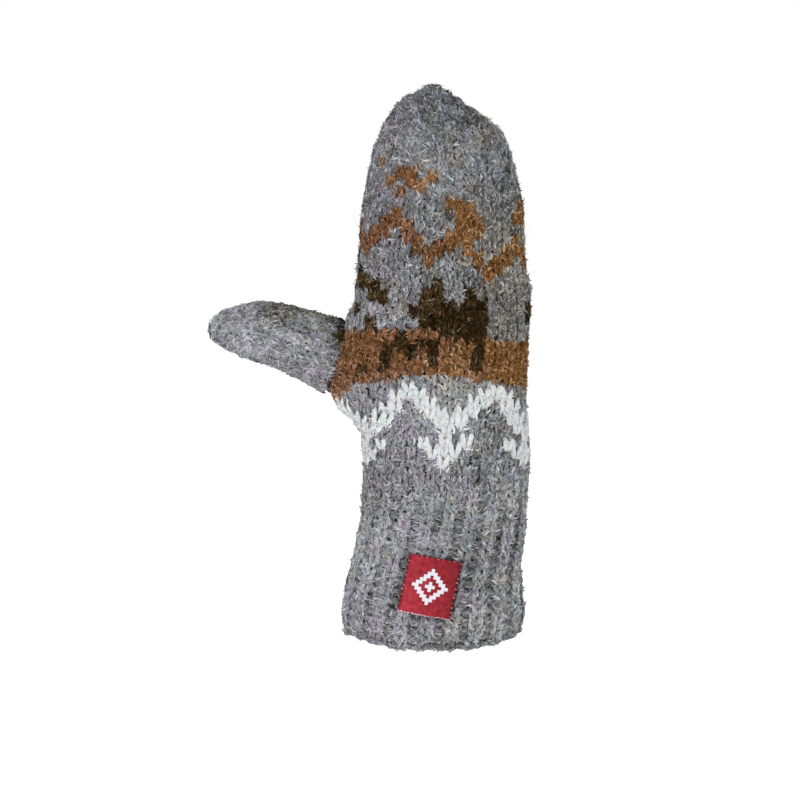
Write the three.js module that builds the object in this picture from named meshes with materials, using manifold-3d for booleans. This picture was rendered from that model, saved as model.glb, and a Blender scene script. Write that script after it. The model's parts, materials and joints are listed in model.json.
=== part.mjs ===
// Hand-knitted wool mitten for a right hand, in the form it has when worn: fingers up, the back of the
// hand towards -Y, the thumb out towards -X. Millimetres, +Z up. The origin is the centre of the cuff's
// opening, where the wrist goes in.
import * as THREE from 'three';
import Module from 'manifold-3d';

const wall = 4.0; // thickness of the knitted fabric
const gap = 0.3; // clearance between neighbouring pieces
const cuffTop = 70; // where the ribbed cuff ends and the plain hand begins
const hollowTop = 249; // highest point of the space for the fingers
const stitchesRound = 40; // knitted columns round the hand
const ribs = stitchesRound / 2; // one knit column and one purl column make a rib
const ribHeight = 1.3; // how far a rib stands above its furrow
const ribFade = 9; // height over which the ribs run out below the top of the cuff
const ribStart = { hem: -0.073, top: -0.039 }; // share of the way round from the back's middle to the first rib
const hemScallop = 0.6; // how far each rib reaches below the furrows at the cast-on edge
const scallopHeight = 10; // height over which the scallops run out
const tipGather = { from: 232, extraWall: 2.5 }; // the fabric is drawn together and thicker above here

// The mitten's body, a row for each height: the middle of the section, its reach to the left and right,
// to the back and the palm of the hand, and how square it is, where 2 is an ellipse.
const bodyRows = [
  { z: 0, middle: -0.6, left: -39.6, right: 38.4, back: -27.8, palm: 28.6, square: 2.1 },
  { z: 3, middle: -0.5, left: -42.0, right: 41.2, back: -30.0, palm: 30.9, square: 2.1 },
  { z: 12, middle: -0.2, left: -43.4, right: 43.0, back: -30.6, palm: 31.5, square: 2.1 },
  { z: 22, middle: 0.2, left: -42.0, right: 42.2, back: -29.4, palm: 30.2, square: 2.15 },
  { z: 35, middle: 1.2, left: -39.0, right: 41.2, back: -27.2, palm: 28.0, square: 2.2 },
  { z: 54, middle: 4.0, left: -35.2, right: 43.4, back: -24.2, palm: 25.2, square: 2.25 },
  { z: 70, middle: 5.2, left: -33.4, right: 43.8, back: -22.8, palm: 23.8, square: 2.3 },
  { z: 90, middle: 5.7, left: -32.8, right: 44.8, back: -21.8, palm: 23.2, square: 2.35 },
  { z: 101, middle: 5.4, left: -34.2, right: 43.6, back: -21.6, palm: 23.4, square: 2.4 },
  { z: 110, middle: 5.0, left: -43.2, right: 42.6, back: -21.6, palm: 23.6, square: 2.6 },
  { z: 119, middle: 4.7, left: -48.0, right: 42.6, back: -21.6, palm: 23.4, square: 2.8 },
  { z: 130, middle: 4.5, left: -48.4, right: 42.8, back: -21.6, palm: 22.8, square: 2.8 },
  { z: 142, middle: 4.2, left: -44.6, right: 43.2, back: -21.5, palm: 21.9, square: 2.6 },
  { z: 151, middle: 4.1, left: -40.8, right: 43.6, back: -21.4, palm: 21.2, square: 2.45 },
  { z: 163, middle: 3.9, left: -36.4, right: 43.8, back: -21.0, palm: 20.0, square: 2.35 },
  { z: 178, middle: 3.7, left: -34.9, right: 41.7, back: -20.2, palm: 19.0, square: 2.3 },
  { z: 200, middle: 3.6, left: -33.3, right: 40.8, back: -18.6, palm: 18.2, square: 2.3 },
  { z: 216, middle: 3.4, left: -30.6, right: 37.8, back: -16.8, palm: 17.6, square: 2.25 },
  { z: 230, middle: 3.0, left: -27.4, right: 34.0, back: -14.6, palm: 16.6, square: 2.2 },
  { z: 242, middle: 1.6, left: -22.2, right: 26.6, back: -11.6, palm: 14.6, square: 2.1 },
  { z: 250, middle: 0.0, left: -16.8, right: 15.4, back: -8.2, palm: 11.8, square: 2.0 },
  { z: 254, middle: -0.8, left: -11.2, right: 8.8, back: -5.6, palm: 9.4, square: 2.0 },
  { z: 256, middle: -1.0, left: -8.4, right: 6.6, back: -4.4, palm: 8.2, square: 2.0 },
  { z: 258, middle: -1.0, left: -5.6, right: 3.8, back: -2.2, palm: 6.0, square: 2.0 },
];

// Furrows and swells of the outer face on one side, where side is -1 for the back of the hand and 1 for
// the palm: a line from one end to the other in X and Z, its half width, and its depth. A negative depth
// stands proud.
const folds = [
  { side: -1, from: [9, 250], to: [20, 229], halfWidth: 5, depth: 1.5 },
  { side: -1, from: [20, 229], to: [34, 184], halfWidth: 5, depth: 1.2 },
  { side: 1, from: [7, 250], to: [-16, 214], halfWidth: 5, depth: 1.3 },
  { side: -1, from: [-34, 158], to: [-22, 146], halfWidth: 5, depth: 1.2 },
  { side: 1, from: [-32, 156], to: [-12, 132], halfWidth: 7, depth: 1.4 },
  { side: 1, from: [-26, 92], to: [22, 86], halfWidth: 6, depth: 1.2 },
  { side: -1, from: [-30, 60], to: [6, 66], halfWidth: 8, depth: 0.8 },
  { side: -1, from: [43, 166], to: [43, 161], halfWidth: 5, depth: -0.9 },
];

// The thumb, a row for each section from inside the hand out to the tip: its centre in X and Z, the lean
// of the section from upright in degrees, its height, its reach to the back and the palm of the hand, and
// the depth of the long furrow below its upper edge.
const thumbRows = [
  { x: -22, z: 126.5, lean: 8, height: 37.0, back: -11.0, palm: 12.4, furrow: 0 },
  { x: -34, z: 129.8, lean: 10, height: 36.5, back: -11.2, palm: 12.6, furrow: 0.6 },
  { x: -46, z: 134.0, lean: 13, height: 35.0, back: -11.6, palm: 12.8, furrow: 1.6 },
  { x: -61, z: 140.4, lean: 17, height: 31.2, back: -12.4, palm: 13.2, furrow: 1.8 },
  { x: -72, z: 144.2, lean: 16, height: 29.4, back: -12.2, palm: 12.8, furrow: 1.4 },
  { x: -82, z: 146.2, lean: 12, height: 27.0, back: -11.6, palm: 12.0, furrow: 0.8 },
  { x: -90, z: 147.2, lean: 9, height: 23.0, back: -10.2, palm: 10.4, furrow: 0.3 },
  { x: -96, z: 147.6, lean: 7, height: 18.2, back: -8.2, palm: 8.4, furrow: 0 },
  { x: -100.5, z: 147.7, lean: 6, height: 12.8, back: -5.9, palm: 6.0, furrow: 0 },
  { x: -103.4, z: 147.6, lean: 5, height: 6.8, back: -3.2, palm: 3.2, furrow: 0 },
];
const thumbSquare = 2.2; // how square the thumb's section is
const furrowPlace = 0.52; // where the thumb's furrow lies, as a share of its half height
const furrowWidth = 0.24; // its half width, as the same share
const thumbTipWall = 7; // distance from the tip to the end of the space inside

// The woven label sewn on the back of the cuff.
const label = { x: -2.1, z: 31.9, width: 24.6, height: 26.6, turn: -9.5, lean: -3.0, thickness: 1.0 };

const colours = { greyWool: 0x96969b, redWeave: 0xaf1e2d };

// Facets of the rings and lengthwise steps of each piece.
const facets = {
  cuffRound: ribs * 6,
  cuffInsideRound: ribs * 2,
  cuffHeights: [0, 1.2, 3, 7, 14, 24, 36, 48, 58, 64, cuffTop - gap / 2],
  cuffInsideHeights: [-2, 10, 25, 40, 55, 64, cuffTop + 2],
  handRound: 60,
  handInsideRound: 32,
  handHeights: [cuffTop + gap / 2, 78, 88, 98, 104, 109, 115, 121, 127, 134, 142, 150, 158, 166, 175, 184, 193,
    202, 211, 219, 227, 234, 240, 245, 249, 252, 254, 256, 257.4, 258],
  handInsideHeights: [cuffTop - 2, 80, 92, 102, 110, 120, 130, 140, 152, 165, 180, 195, 210, 222, 232, 240, 245,
    hollowTop],
  thumbRound: 28,
  thumbInsideRound: 20,
  thumbSteps: 17,
  thumbInsideSteps: 10,
  labelAcross: 9,
  labelUp: 9,
};

// Value of one column of a table at a place along it, on a smooth curve that never overshoots the rows.
function along(rows, key, column, at) {
  const last = rows.length - 1;
  const slope = (i) => (rows[i + 1][column] - rows[i][column]) / (rows[i + 1][key] - rows[i][key]);
  const tangent = (i) => {
    if (i === 0) return slope(0);
    if (i === last) return slope(last - 1);
    const before = slope(i - 1);
    const after = slope(i);
    return before * after <= 0 ? 0 : (2 * before * after) / (before + after);
  };
  let i = 0;
  while (i < last - 1 && rows[i + 1][key] < at) i += 1;
  const length = rows[i + 1][key] - rows[i][key];
  const t = THREE.MathUtils.clamp((at - rows[i][key]) / length, 0, 1);
  const rise = t * t * (3 - 2 * t);
  const leave = t * (1 - t) * (1 - t) * length;
  const arrive = t * t * (t - 1) * length;
  return rows[i][column] * (1 - rise) + rows[i + 1][column] * rise + tangent(i) * leave + tangent(i + 1) * arrive;
}

// Points spaced evenly round a closed curve. The first lies at a share of the way round from the curve's start.
function spacedEvenly(curvePoint, count, start = 0) {
  const fine = Array.from({ length: 361 }, (_, i) => curvePoint((i / 360) * 2 * Math.PI));
  const lengths = [0];
  for (let i = 1; i < fine.length; i += 1) lengths.push(lengths[i - 1] + fine[i].distanceTo(fine[i - 1]));
  return Array.from({ length: count }, (_, k) => {
    const wanted = lengths[360] * THREE.MathUtils.euclideanModulo(k / count + start, 1);
    const i = lengths.findIndex((length) => length > wanted) - 1;
    return fine[i].clone().lerp(fine[i + 1], (wanted - lengths[i]) / (lengths[i + 1] - lengths[i]));
  });
}

// Rounded section: reach to the left and right of the middle, then to the back and the palm.
function roundedSection(turn, left, right, back, palm, square) {
  const across = Math.sin(turn);
  const through = -Math.cos(turn);
  const power = 2 / square;
  return [
    (across < 0 ? left : right) * Math.abs(across) ** power,
    (through < 0 ? back : palm) * Math.abs(through) ** power,
  ];
}

// Ring of the body at a height. It starts at a share of the way round from the middle of the back towards +X.
function bodyRing(z, count, inset, start = 0) {
  const row = Object.fromEntries(Object.keys(bodyRows[0]).map((column) => [column, along(bodyRows, 'z', column, z)]));
  return spacedEvenly((turn) => {
    const left = row.left - row.middle + inset;
    const right = row.right - row.middle - inset;
    const [x, y] = roundedSection(turn, left, right, row.back + inset, row.palm - inset, row.square);
    return new THREE.Vector3(row.middle + x, y, z);
  }, count, start);
}

// Ring of the thumb at a place along it, where 0 is its root inside the hand and 1 its tip.
function thumbRing(place, count, inset) {
  const rows = thumbRows.map((row, i) => ({ ...row, place: i / (thumbRows.length - 1) }));
  const at = (column) => along(rows, 'place', column, place);
  const lean = THREE.MathUtils.degToRad(at('lean'));
  const half = at('height') / 2 - inset;
  const [x, z, back, palm, furrow] = ['x', 'z', 'back', 'palm', 'furrow'].map(at);
  return spacedEvenly((turn) => {
    const [up, through] = roundedSection(turn, -half, half, back + inset, palm - inset, thumbSquare);
    const sunk = through < 0 ? furrow * Math.exp(-(((up / half - furrowPlace) / furrowWidth) ** 2)) : 0;
    return new THREE.Vector3(x + up * Math.sin(lean), through + sunk, z + up * Math.cos(lean));
  }, count);
}

// Depth of the folds at a point of the body's outer face.
function foldDepth(point) {
  let depth = 0;
  for (const { side, from, to, halfWidth, depth: deepest } of folds) {
    if (point.y * side < 0) continue;
    const start = new THREE.Vector2(...from);
    const line = new THREE.Vector2(...to).sub(start);
    const offset = new THREE.Vector2(point.x, point.z).sub(start);
    const t = THREE.MathUtils.clamp(offset.dot(line) / line.lengthSq(), 0, 1);
    const distance = offset.distanceTo(line.multiplyScalar(t));
    depth += deepest * Math.exp(-((distance / halfWidth) ** 2));
  }
  return depth;
}

// Moves each point of a level ring along the ring's outward normal.
function swell(ring, amount) {
  return ring.map((point, i) => {
    const next = ring[(i + 1) % ring.length];
    const previous = ring[(i + ring.length - 1) % ring.length];
    const normal = new THREE.Vector3(next.y - previous.y, previous.x - next.x, 0).normalize();
    return point.clone().addScaledVector(normal, amount(point, i / ring.length));
  });
}

// Closed skin through a stack of rings, with a point in the middle of each end.
function loft(rings) {
  const count = rings[0].length;
  const middle = (ring) => ring.reduce((sum, p) => sum.add(p), new THREE.Vector3()).divideScalar(count);
  const points = [...rings.flat(), middle(rings[0]), middle(rings[rings.length - 1])];
  const first = points.length - 2;
  const indices = [];
  for (let k = 0; k < count; k += 1) {
    const next = (k + 1) % count;
    const top = (rings.length - 1) * count;
    indices.push(first, next, k, first + 1, top + k, top + next);
    for (let r = 0; r < rings.length - 1; r += 1) {
      const low = r * count;
      const high = low + count;
      indices.push(low + k, low + next, high + next, low + k, high + next, high + k);
    }
  }
  const geometry = new THREE.BufferGeometry().setFromPoints(points);
  geometry.setIndex(indices);
  return geometry;
}

const wasm = await Module();
wasm.setup();

function toSolid(geometry) {
  return new wasm.Manifold(new wasm.Mesh({
    numProp: 3,
    vertProperties: new Float32Array(geometry.getAttribute('position').array),
    triVerts: new Uint32Array(geometry.index.array),
  }));
}

function toGeometry(solid) {
  const mesh = solid.getMesh();
  const geometry = new THREE.BufferGeometry();
  geometry.setAttribute('position', new THREE.BufferAttribute(mesh.vertProperties, 3));
  geometry.setIndex(new THREE.BufferAttribute(mesh.triVerts, 1));
  geometry.computeVertexNormals();
  return geometry;
}

// Ribs of the cuff: full from the hem up, and running out just below the hand.
function ribRise(z, place) {
  const fade = THREE.MathUtils.smoothstep(cuffTop - z, 0, ribFade);
  return ribHeight * fade * (0.5 * Math.cos(2 * Math.PI * ribs * place) - 0.5);
}

// Ring of the cuff. It starts on a rib, and the ribs lean with the forearm.
function cuffRing(z, count, inset) {
  const start = THREE.MathUtils.lerp(ribStart.hem, ribStart.top, z / cuffTop);
  const ring = swell(bodyRing(Math.max(z, 0), count, inset, start), (point, place) => {
    return inset > 0 ? ribRise(z, place) * 0.5 : ribRise(z, place) - foldDepth(point);
  });
  const scallop = inset > 0 ? 0 : hemScallop * THREE.MathUtils.clamp(1 - z / scallopHeight, 0, 1);
  return ring.map((point, k) => {
    point.z = z - scallop * (0.5 + 0.5 * Math.cos((2 * Math.PI * ribs * k) / count));
    return point;
  });
}

function makeCuff() {
  const outside = loft(facets.cuffHeights.map((z) => cuffRing(z, facets.cuffRound, 0)));
  const inside = loft(facets.cuffInsideHeights.map((z) => cuffRing(z, facets.cuffInsideRound, wall)));
  return toGeometry(toSolid(outside).subtract(toSolid(inside)));
}

// Outer skin of the hand, grown by a distance.
function handSkin(grown) {
  return loft(facets.handHeights.map((z) => {
    return swell(bodyRing(z, facets.handRound, -grown), (point) => -foldDepth(point));
  }));
}

// Space inside the hand, open at the bottom.
function handHollow() {
  return loft(facets.handInsideHeights.map((z) => {
    const gathered = THREE.MathUtils.smoothstep(z, tipGather.from, hollowTop);
    return bodyRing(z, facets.handInsideRound, wall + tipGather.extraWall * gathered);
  }));
}

function thumbTube(from, to, steps, count, inset) {
  const places = Array.from({ length: steps + 1 }, (_, i) => from + ((to - from) * i) / steps);
  return loft(places.map((place) => thumbRing(place, count, inset)));
}

function thumbHollow() {
  const length = thumbRows[0].x - thumbRows[thumbRows.length - 1].x;
  const end = 1 - thumbTipWall / length;
  return thumbTube(0, end, facets.thumbInsideSteps, facets.thumbInsideRound, wall);
}

function makeHand() {
  const skin = toSolid(handSkin(0));
  return toGeometry(skin.subtract(toSolid(handHollow())).subtract(toSolid(thumbHollow())));
}

function makeThumb() {
  const skin = toSolid(thumbTube(0, 1, facets.thumbSteps, facets.thumbRound, 0));
  const room = toSolid(handSkin(gap));
  return toGeometry(skin.subtract(toSolid(thumbHollow())).subtract(room));
}

// Point of the cuff's back at a place in X and Z, on the crests of the ribs, lifted off them.
function cuffBack(x, z, lift) {
  const ring = bodyRing(z, facets.cuffRound, 0);
  const quarter = ring.length / 4;
  const back = [...ring.slice(-quarter), ...ring.slice(0, quarter)];
  const i = back.findIndex((point) => point.x >= x);
  const point = back[i - 1].clone().lerp(back[i], (x - back[i - 1].x) / (back[i].x - back[i - 1].x));
  const normal = new THREE.Vector3(back[i].y - back[i - 1].y, back[i - 1].x - back[i].x, 0).normalize();
  return point.addScaledVector(normal, lift);
}

function makeLabel() {
  const turn = THREE.MathUtils.degToRad(label.turn);
  const skew = Math.tan(THREE.MathUtils.degToRad(label.lean));
  const face = (lift, j) => Array.from({ length: facets.labelAcross + 1 }, (_, i) => {
    const up = (j / facets.labelUp - 0.5) * label.height;
    const across = (i / facets.labelAcross - 0.5) * label.width - up * skew;
    const x = label.x + across * Math.cos(turn) - up * Math.sin(turn);
    const z = label.z + across * Math.sin(turn) + up * Math.cos(turn);
    return cuffBack(x, z, lift);
  });
  const rings = Array.from({ length: facets.labelUp + 1 }, (_, j) => {
    return [...face(gap + label.thickness, j), ...face(gap, j).reverse()];
  });
  return toGeometry(toSolid(loft(rings)));
}

function piece(name, geometry, colour, roughness) {
  const mesh = new THREE.Mesh(geometry, new THREE.MeshStandardMaterial({ color: colour, roughness, metalness: 0 }));
  mesh.name = name;
  return mesh;
}

const mitten = new THREE.Group();
mitten.add(
  piece('cuff', makeCuff(), colours.greyWool, 0.95),
  piece('hand', makeHand(), colours.greyWool, 0.95),
  piece('thumb', makeThumb(), colours.greyWool, 0.95),
  piece('label', makeLabel(), colours.redWeave, 0.7),
);

export default mitten;
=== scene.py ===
import json
import math
from collections import defaultdict

import bmesh
import bpy
import numpy as np
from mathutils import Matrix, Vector
from mathutils.bvhtree import BVHTree

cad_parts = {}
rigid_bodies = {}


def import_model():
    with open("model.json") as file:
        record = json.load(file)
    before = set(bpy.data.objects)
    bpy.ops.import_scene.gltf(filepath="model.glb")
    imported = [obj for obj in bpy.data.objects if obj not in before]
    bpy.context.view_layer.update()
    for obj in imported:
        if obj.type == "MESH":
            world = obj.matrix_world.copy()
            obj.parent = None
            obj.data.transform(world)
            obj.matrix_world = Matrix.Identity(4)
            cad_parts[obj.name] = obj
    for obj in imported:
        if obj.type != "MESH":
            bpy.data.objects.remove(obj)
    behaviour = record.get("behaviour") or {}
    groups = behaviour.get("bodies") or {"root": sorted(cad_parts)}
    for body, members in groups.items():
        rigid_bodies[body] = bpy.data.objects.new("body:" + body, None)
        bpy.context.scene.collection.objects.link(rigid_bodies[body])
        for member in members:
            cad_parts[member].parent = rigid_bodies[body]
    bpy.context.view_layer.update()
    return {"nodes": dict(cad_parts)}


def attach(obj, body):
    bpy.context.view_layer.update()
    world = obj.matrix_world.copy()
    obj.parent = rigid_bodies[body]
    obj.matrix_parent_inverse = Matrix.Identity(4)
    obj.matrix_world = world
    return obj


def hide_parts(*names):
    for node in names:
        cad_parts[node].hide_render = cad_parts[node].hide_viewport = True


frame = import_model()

# Hand-knitted wool mitten for a right hand, as worn: the back of the hand towards -Y, the thumb towards -X.
# The walls come from the frame, and the stitches, hairs and the label's weave are laid over them here.
mm = 0.001
draw = np.random.default_rng(11)  # every hand-knit irregularity comes from here


# Output of a node. The signs of arithmetic on it add Math or Vector Math nodes to the same tree.
class Wire:
    def __init__(self, nodes, socket):
        self.nodes = nodes
        self.socket = socket

    def out(self, name):
        return Wire(self.nodes, self.socket.node.outputs[name])

    def maths(self, operation, *values):
        vector = any(isinstance(value, Wire) and value.socket.type == "VECTOR" for value in values)
        kind = "ShaderNodeVectorMath" if vector else "ShaderNodeMath"
        return self.nodes.add(kind, {"operation": operation}, dict(enumerate(values)))

    def apply(self, operation, *others):
        return self.maths(operation, self, *others)

    def dot(self, other):
        settings = {"operation": "DOT_PRODUCT"}
        return self.nodes.add("ShaderNodeVectorMath", settings, {0: self, 1: other}, "Value")

    def __add__(self, other):
        return self.maths("ADD", self, other)

    def __radd__(self, other):
        return self.maths("ADD", other, self)

    def __sub__(self, other):
        return self.maths("SUBTRACT", self, other)

    def __rsub__(self, other):
        return self.maths("SUBTRACT", other, self)

    def __mul__(self, other):
        return self.maths("MULTIPLY", self, other)

    def __truediv__(self, other):
        return self.maths("DIVIDE", self, other)

    def __gt__(self, other):
        return self.maths("GREATER_THAN", self, other)

    def __lt__(self, other):
        return self.maths("LESS_THAN", self, other)


# Adds nodes to a tree: a type, its settings, then the values or wires of its sockets.
class Nodes:
    def __init__(self, tree):
        self.tree = tree

    def add(self, kind, settings=None, sockets=None, output=0):
        node = self.tree.nodes.new(kind)
        for name, value in (settings or {}).items():
            if name == "stops":
                self.setStops(node.color_ramp, value)
            else:
                setattr(node, name, value)
        for key, value in (sockets or {}).items():
            self.feed(node.inputs[key], value)
        return Wire(self, node.outputs[output]) if len(node.outputs) else node

    def feed(self, socket, value):
        if isinstance(value, Wire):
            self.tree.links.new(value.socket, socket)
        elif socket.type == "VECTOR" and isinstance(value, (int, float)):
            socket.default_value = (value, value, value)
        else:
            socket.default_value = value

    def setStops(self, ramp, stops):
        while len(ramp.elements) < len(stops):
            ramp.elements.new(1.0)
        for element, (place, colour) in zip(ramp.elements, stops):
            element.position = place
            element.color = (*colour, 1.0)

    def mixColours(self, share, first, second, blend="MIX"):
        settings = {"data_type": "RGBA", "blend_type": blend}
        return self.add("ShaderNodeMix", settings, {0: share, 6: first, 7: second}, 2)

    def attribute(self, name, kind="FLOAT"):
        return self.add("GeometryNodeInputNamedAttribute", {"data_type": kind}, {"Name": name})

    def between(self, low, high, seed):
        return self.add("FunctionNodeRandomValue", {"data_type": "FLOAT"}, {2: low, 3: high, "Seed": seed}, 1)

    def noise(self, place, scale, detail, roughness=0.5, dimensions="3D"):
        values = {"Vector": place, "Scale": scale, "Detail": detail, "Roughness": roughness}
        return self.add("ShaderNodeTexNoise", {"noise_dimensions": dimensions}, values)

    def setSurface(self, values):
        shader = self.add("ShaderNodeBsdfPrincipled", {}, values)
        self.add("ShaderNodeOutputMaterial", {}, {"Surface": shader})


def geometryTree(name, inputs):
    tree = bpy.data.node_groups.new(name, "GeometryNodeTree")
    tree.interface.new_socket(name="Geometry", in_out="INPUT", socket_type="NodeSocketGeometry")
    for label, kind in inputs.items():
        tree.interface.new_socket(name=label, in_out="INPUT", socket_type="NodeSocket" + kind)
    tree.interface.new_socket(name="Geometry", in_out="OUTPUT", socket_type="NodeSocketGeometry")
    nodes = Nodes(tree)
    return nodes, nodes.add("NodeGroupInput")


def runTree(obj, nodes, values):
    modifier = obj.modifiers.new("nodes", "NODES")
    modifier.node_group = nodes.tree
    for item in nodes.tree.interface.items_tree:
        if item.in_out == "INPUT" and item.name in values:
            modifier[item.identifier] = values[item.name]
    depsgraph = bpy.context.evaluated_depsgraph_get()
    made = bpy.data.meshes.new_from_object(obj.evaluated_get(depsgraph), depsgraph=depsgraph)
    obj.modifiers.clear()
    old = obj.data
    obj.data = made
    made.name = obj.name
    bpy.data.meshes.remove(old)


def newObject(name, mesh, collection=None):
    obj = bpy.data.objects.new(name, mesh)
    (collection or bpy.context.scene.collection).objects.link(obj)
    return obj


def pointMesh(name, columns):
    places = columns["place"]
    mesh = bpy.data.meshes.new(name)
    mesh.from_pydata([tuple(p) for p in places], [], [])
    for key, values in columns.items():
        if key == "place":
            continue
        values = np.asarray(values, np.float32)
        kind, field = ("FLOAT_VECTOR", "vector") if values.ndim == 2 else ("FLOAT", "value")
        mesh.attributes.new(key, kind, "POINT").data.foreach_set(field, values.ravel())
    return mesh


def finishMesh(name, mesh, outwards=False):
    if outwards:
        bmesh.ops.recalc_face_normals(mesh, faces=mesh.faces)
    made = bpy.data.meshes.new(name)
    mesh.to_mesh(made)
    mesh.free()
    return made


def unit(vector):
    return vector / max(np.linalg.norm(vector), 1e-9)


def blend(value, low, high):
    share = min(max((value - low) / (high - low), 0.0), 1.0)
    return share * share * (3 - 2 * share)


# Skins of the frame, read by rays

def rayTree(*names):
    corners = []
    faces = []
    for name in names:
        mesh = frame["nodes"][name].data
        start = len(corners)
        corners += [v.co.copy() for v in mesh.vertices]
        faces += [[start + i for i in p.vertices] for p in mesh.polygons]
    return BVHTree.FromPolygons(corners, faces)


def evenRing(points, count):
    closed = np.vstack([points, points[:1]])
    lengths = np.concatenate([[0], np.cumsum(np.linalg.norm(np.diff(closed, axis=0), axis=1))])
    wanted = np.arange(count) / count * lengths[-1]
    ring = np.stack([np.interp(wanted, lengths, closed[:, axis]) for axis in range(3)], 1)
    return ring, lengths[-1]


def castRing(tree, centre, across, through, reach, count):
    turns = np.arange(count) / count * 2 * math.pi
    radii = np.full(count, np.nan)
    directions = [through * math.cos(turn) + across * math.sin(turn) for turn in turns]
    for k, direction in enumerate(directions):
        hit = tree.ray_cast(centre + direction * reach, -direction)
        if hit[0] is not None and hit[3] < reach:
            radii[k] = reach - hit[3]
    found = ~np.isnan(radii)
    radii = np.interp(turns, turns[found], radii[found], period=2 * math.pi)
    return np.array([centre + direction * radius for direction, radius in zip(directions, radii)])


# A skin is a stack of rings. A place on it is a share of the way round and a height along the stack.
class Skin:
    def __init__(self, rings, lengths, heights, rightHalves=()):
        self.rings = np.array(rings)
        self.lengths = np.array(lengths)
        self.heights = np.array(heights)
        self.rightHalves = np.array(rightHalves)

    def at(self, share, height):
        count = self.rings.shape[1]
        level = np.interp(height, self.heights, np.arange(len(self.heights)))
        low = int(min(level, len(self.heights) - 2))
        up = level - low
        place = (share % 1.0) * count
        left = int(place) % count
        right = (left + 1) % count
        along = place - int(place)
        lower = self.rings[low, left] * (1 - along) + self.rings[low, right] * along
        upper = self.rings[low + 1, left] * (1 - along) + self.rings[low + 1, right] * along
        return lower * (1 - up) + upper * up

    def length(self, height):
        return float(np.interp(height, self.heights, self.lengths))

    def rightHalf(self, height):
        return float(np.interp(height, self.heights, self.rightHalves))


bodySkin = {
    "rays": 180,
    "rings": 110,
    "from": 0.8 * mm,
    "to": 257.7 * mm,
    "reach": 90 * mm,
    "thumbZone": (97 * mm, 164 * mm),  # the thumb spoils the middle here, so it is read above and below
}


# The hem is worn a little higher at the sides than the frame has it, and this fades out below the label
hemLine = {
    "x": (-41, -36, -28, -17, -6, 20, 29, 35, 40),
    "lift": (2.2, 4.3, 2.7, 1.3, 1.2, 1.8, 2.2, 3.8, 4.0),  # mm at these X
    "fades": 13.5 * mm,
}


def liftHem(point):
    share = 1 - blend(point[2], 0.0, hemLine["fades"])
    point[2] += np.interp(point[0] / mm, hemLine["x"], hemLine["lift"]) * mm * share


def readBody():
    tree = rayTree("cuff", "hand")
    look = bodySkin
    heights = np.linspace(look["from"], look["to"], look["rings"])
    clear = [z for z in heights if not look["thumbZone"][0] < z < look["thumbZone"][1]]
    middles = []
    for z in clear:
        left = tree.ray_cast(Vector((-look["reach"], 0, z)), Vector((1, 0, 0)))[0]
        right = tree.ray_cast(Vector((look["reach"], 0, z)), Vector((-1, 0, 0)))[0]
        middles.append((left.x + right.x) / 2)
    rings = []
    lengths = []
    rightHalves = []
    for z in heights:
        centre = Vector((np.interp(z, clear, middles), 0, z))
        ring = castRing(tree, centre, Vector((1, 0, 0)), Vector((0, -1, 0)), look["reach"], look["rays"])
        rightHalf = ring[:look["rays"] // 2 + 1]
        rightHalves.append(np.linalg.norm(np.diff(rightHalf, axis=0), axis=1).sum())
        ring, length = evenRing(ring, look["rays"])
        for point in ring:
            liftHem(point)
        rings.append(ring)
        lengths.append(length)
    return Skin(rings, lengths, heights, rightHalves)


thumbSkin = {
    "rays": 72,
    "stations": 34,
    "spacing": 1.8 * mm,  # of the stations inside the hand
    "smoothing": 6,
    "root": -43.5 * mm,  # in X
    "tip": -103.2 * mm,
    "clearOfHand": -52 * mm,  # the thumb is whole from here out
    "reach": 30 * mm,
}


# The thumb's rings stand square to its own curved middle line, and a height is a length along that line.
def readThumb():
    tree = rayTree("thumb")
    look = thumbSkin
    middle = []
    for x in np.linspace(look["clearOfHand"], look["tip"], look["stations"]):
        top = tree.ray_cast(Vector((x, 0, 0.3)), Vector((0, 0, -1)))[0]
        foot = tree.ray_cast(Vector((x, 0, 0)), Vector((0, 0, 1)))[0]
        middle.append(Vector((x, 0, (top.z + foot.z) / 2)))
    back = (middle[0] - middle[3]).normalized()
    steps = int((look["root"] - look["clearOfHand"]) / look["spacing"])
    middle = [middle[0] + back * (look["spacing"] * k) for k in range(steps, 0, -1)] + middle
    smooth = np.array(middle)
    for _ in range(look["smoothing"]):
        smooth[1:-1] = (smooth[:-2] + 2 * smooth[1:-1] + smooth[2:]) / 4
    rings = []
    lengths = []
    heights = [0.0]
    for i, centre in enumerate(smooth):
        if i:
            heights.append(heights[-1] + float(np.linalg.norm(centre - smooth[i - 1])))
        ahead = Vector(smooth[min(i + 1, len(smooth) - 1)] - smooth[max(i - 1, 0)]).normalized()
        through = Vector((0, -1, 0))
        across = ahead.cross(through).normalized()
        ring = castRing(tree, Vector(centre), across, through, look["reach"], look["rays"])
        ring, length = evenRing(ring, look["rays"])
        rings.append(ring)
        lengths.append(length)
    return Skin(rings, lengths, heights), smooth


body = readBody()
thumb, thumbMiddle = readThumb()
thumbTree = rayTree("thumb")
roundPalm, alongThumb = round(body.length(0.1) / mm), round(thumb.heights[-1] / mm)
print("skins read:", roundPalm, "mm round the palm,", alongThumb, "mm of thumb")


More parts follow.
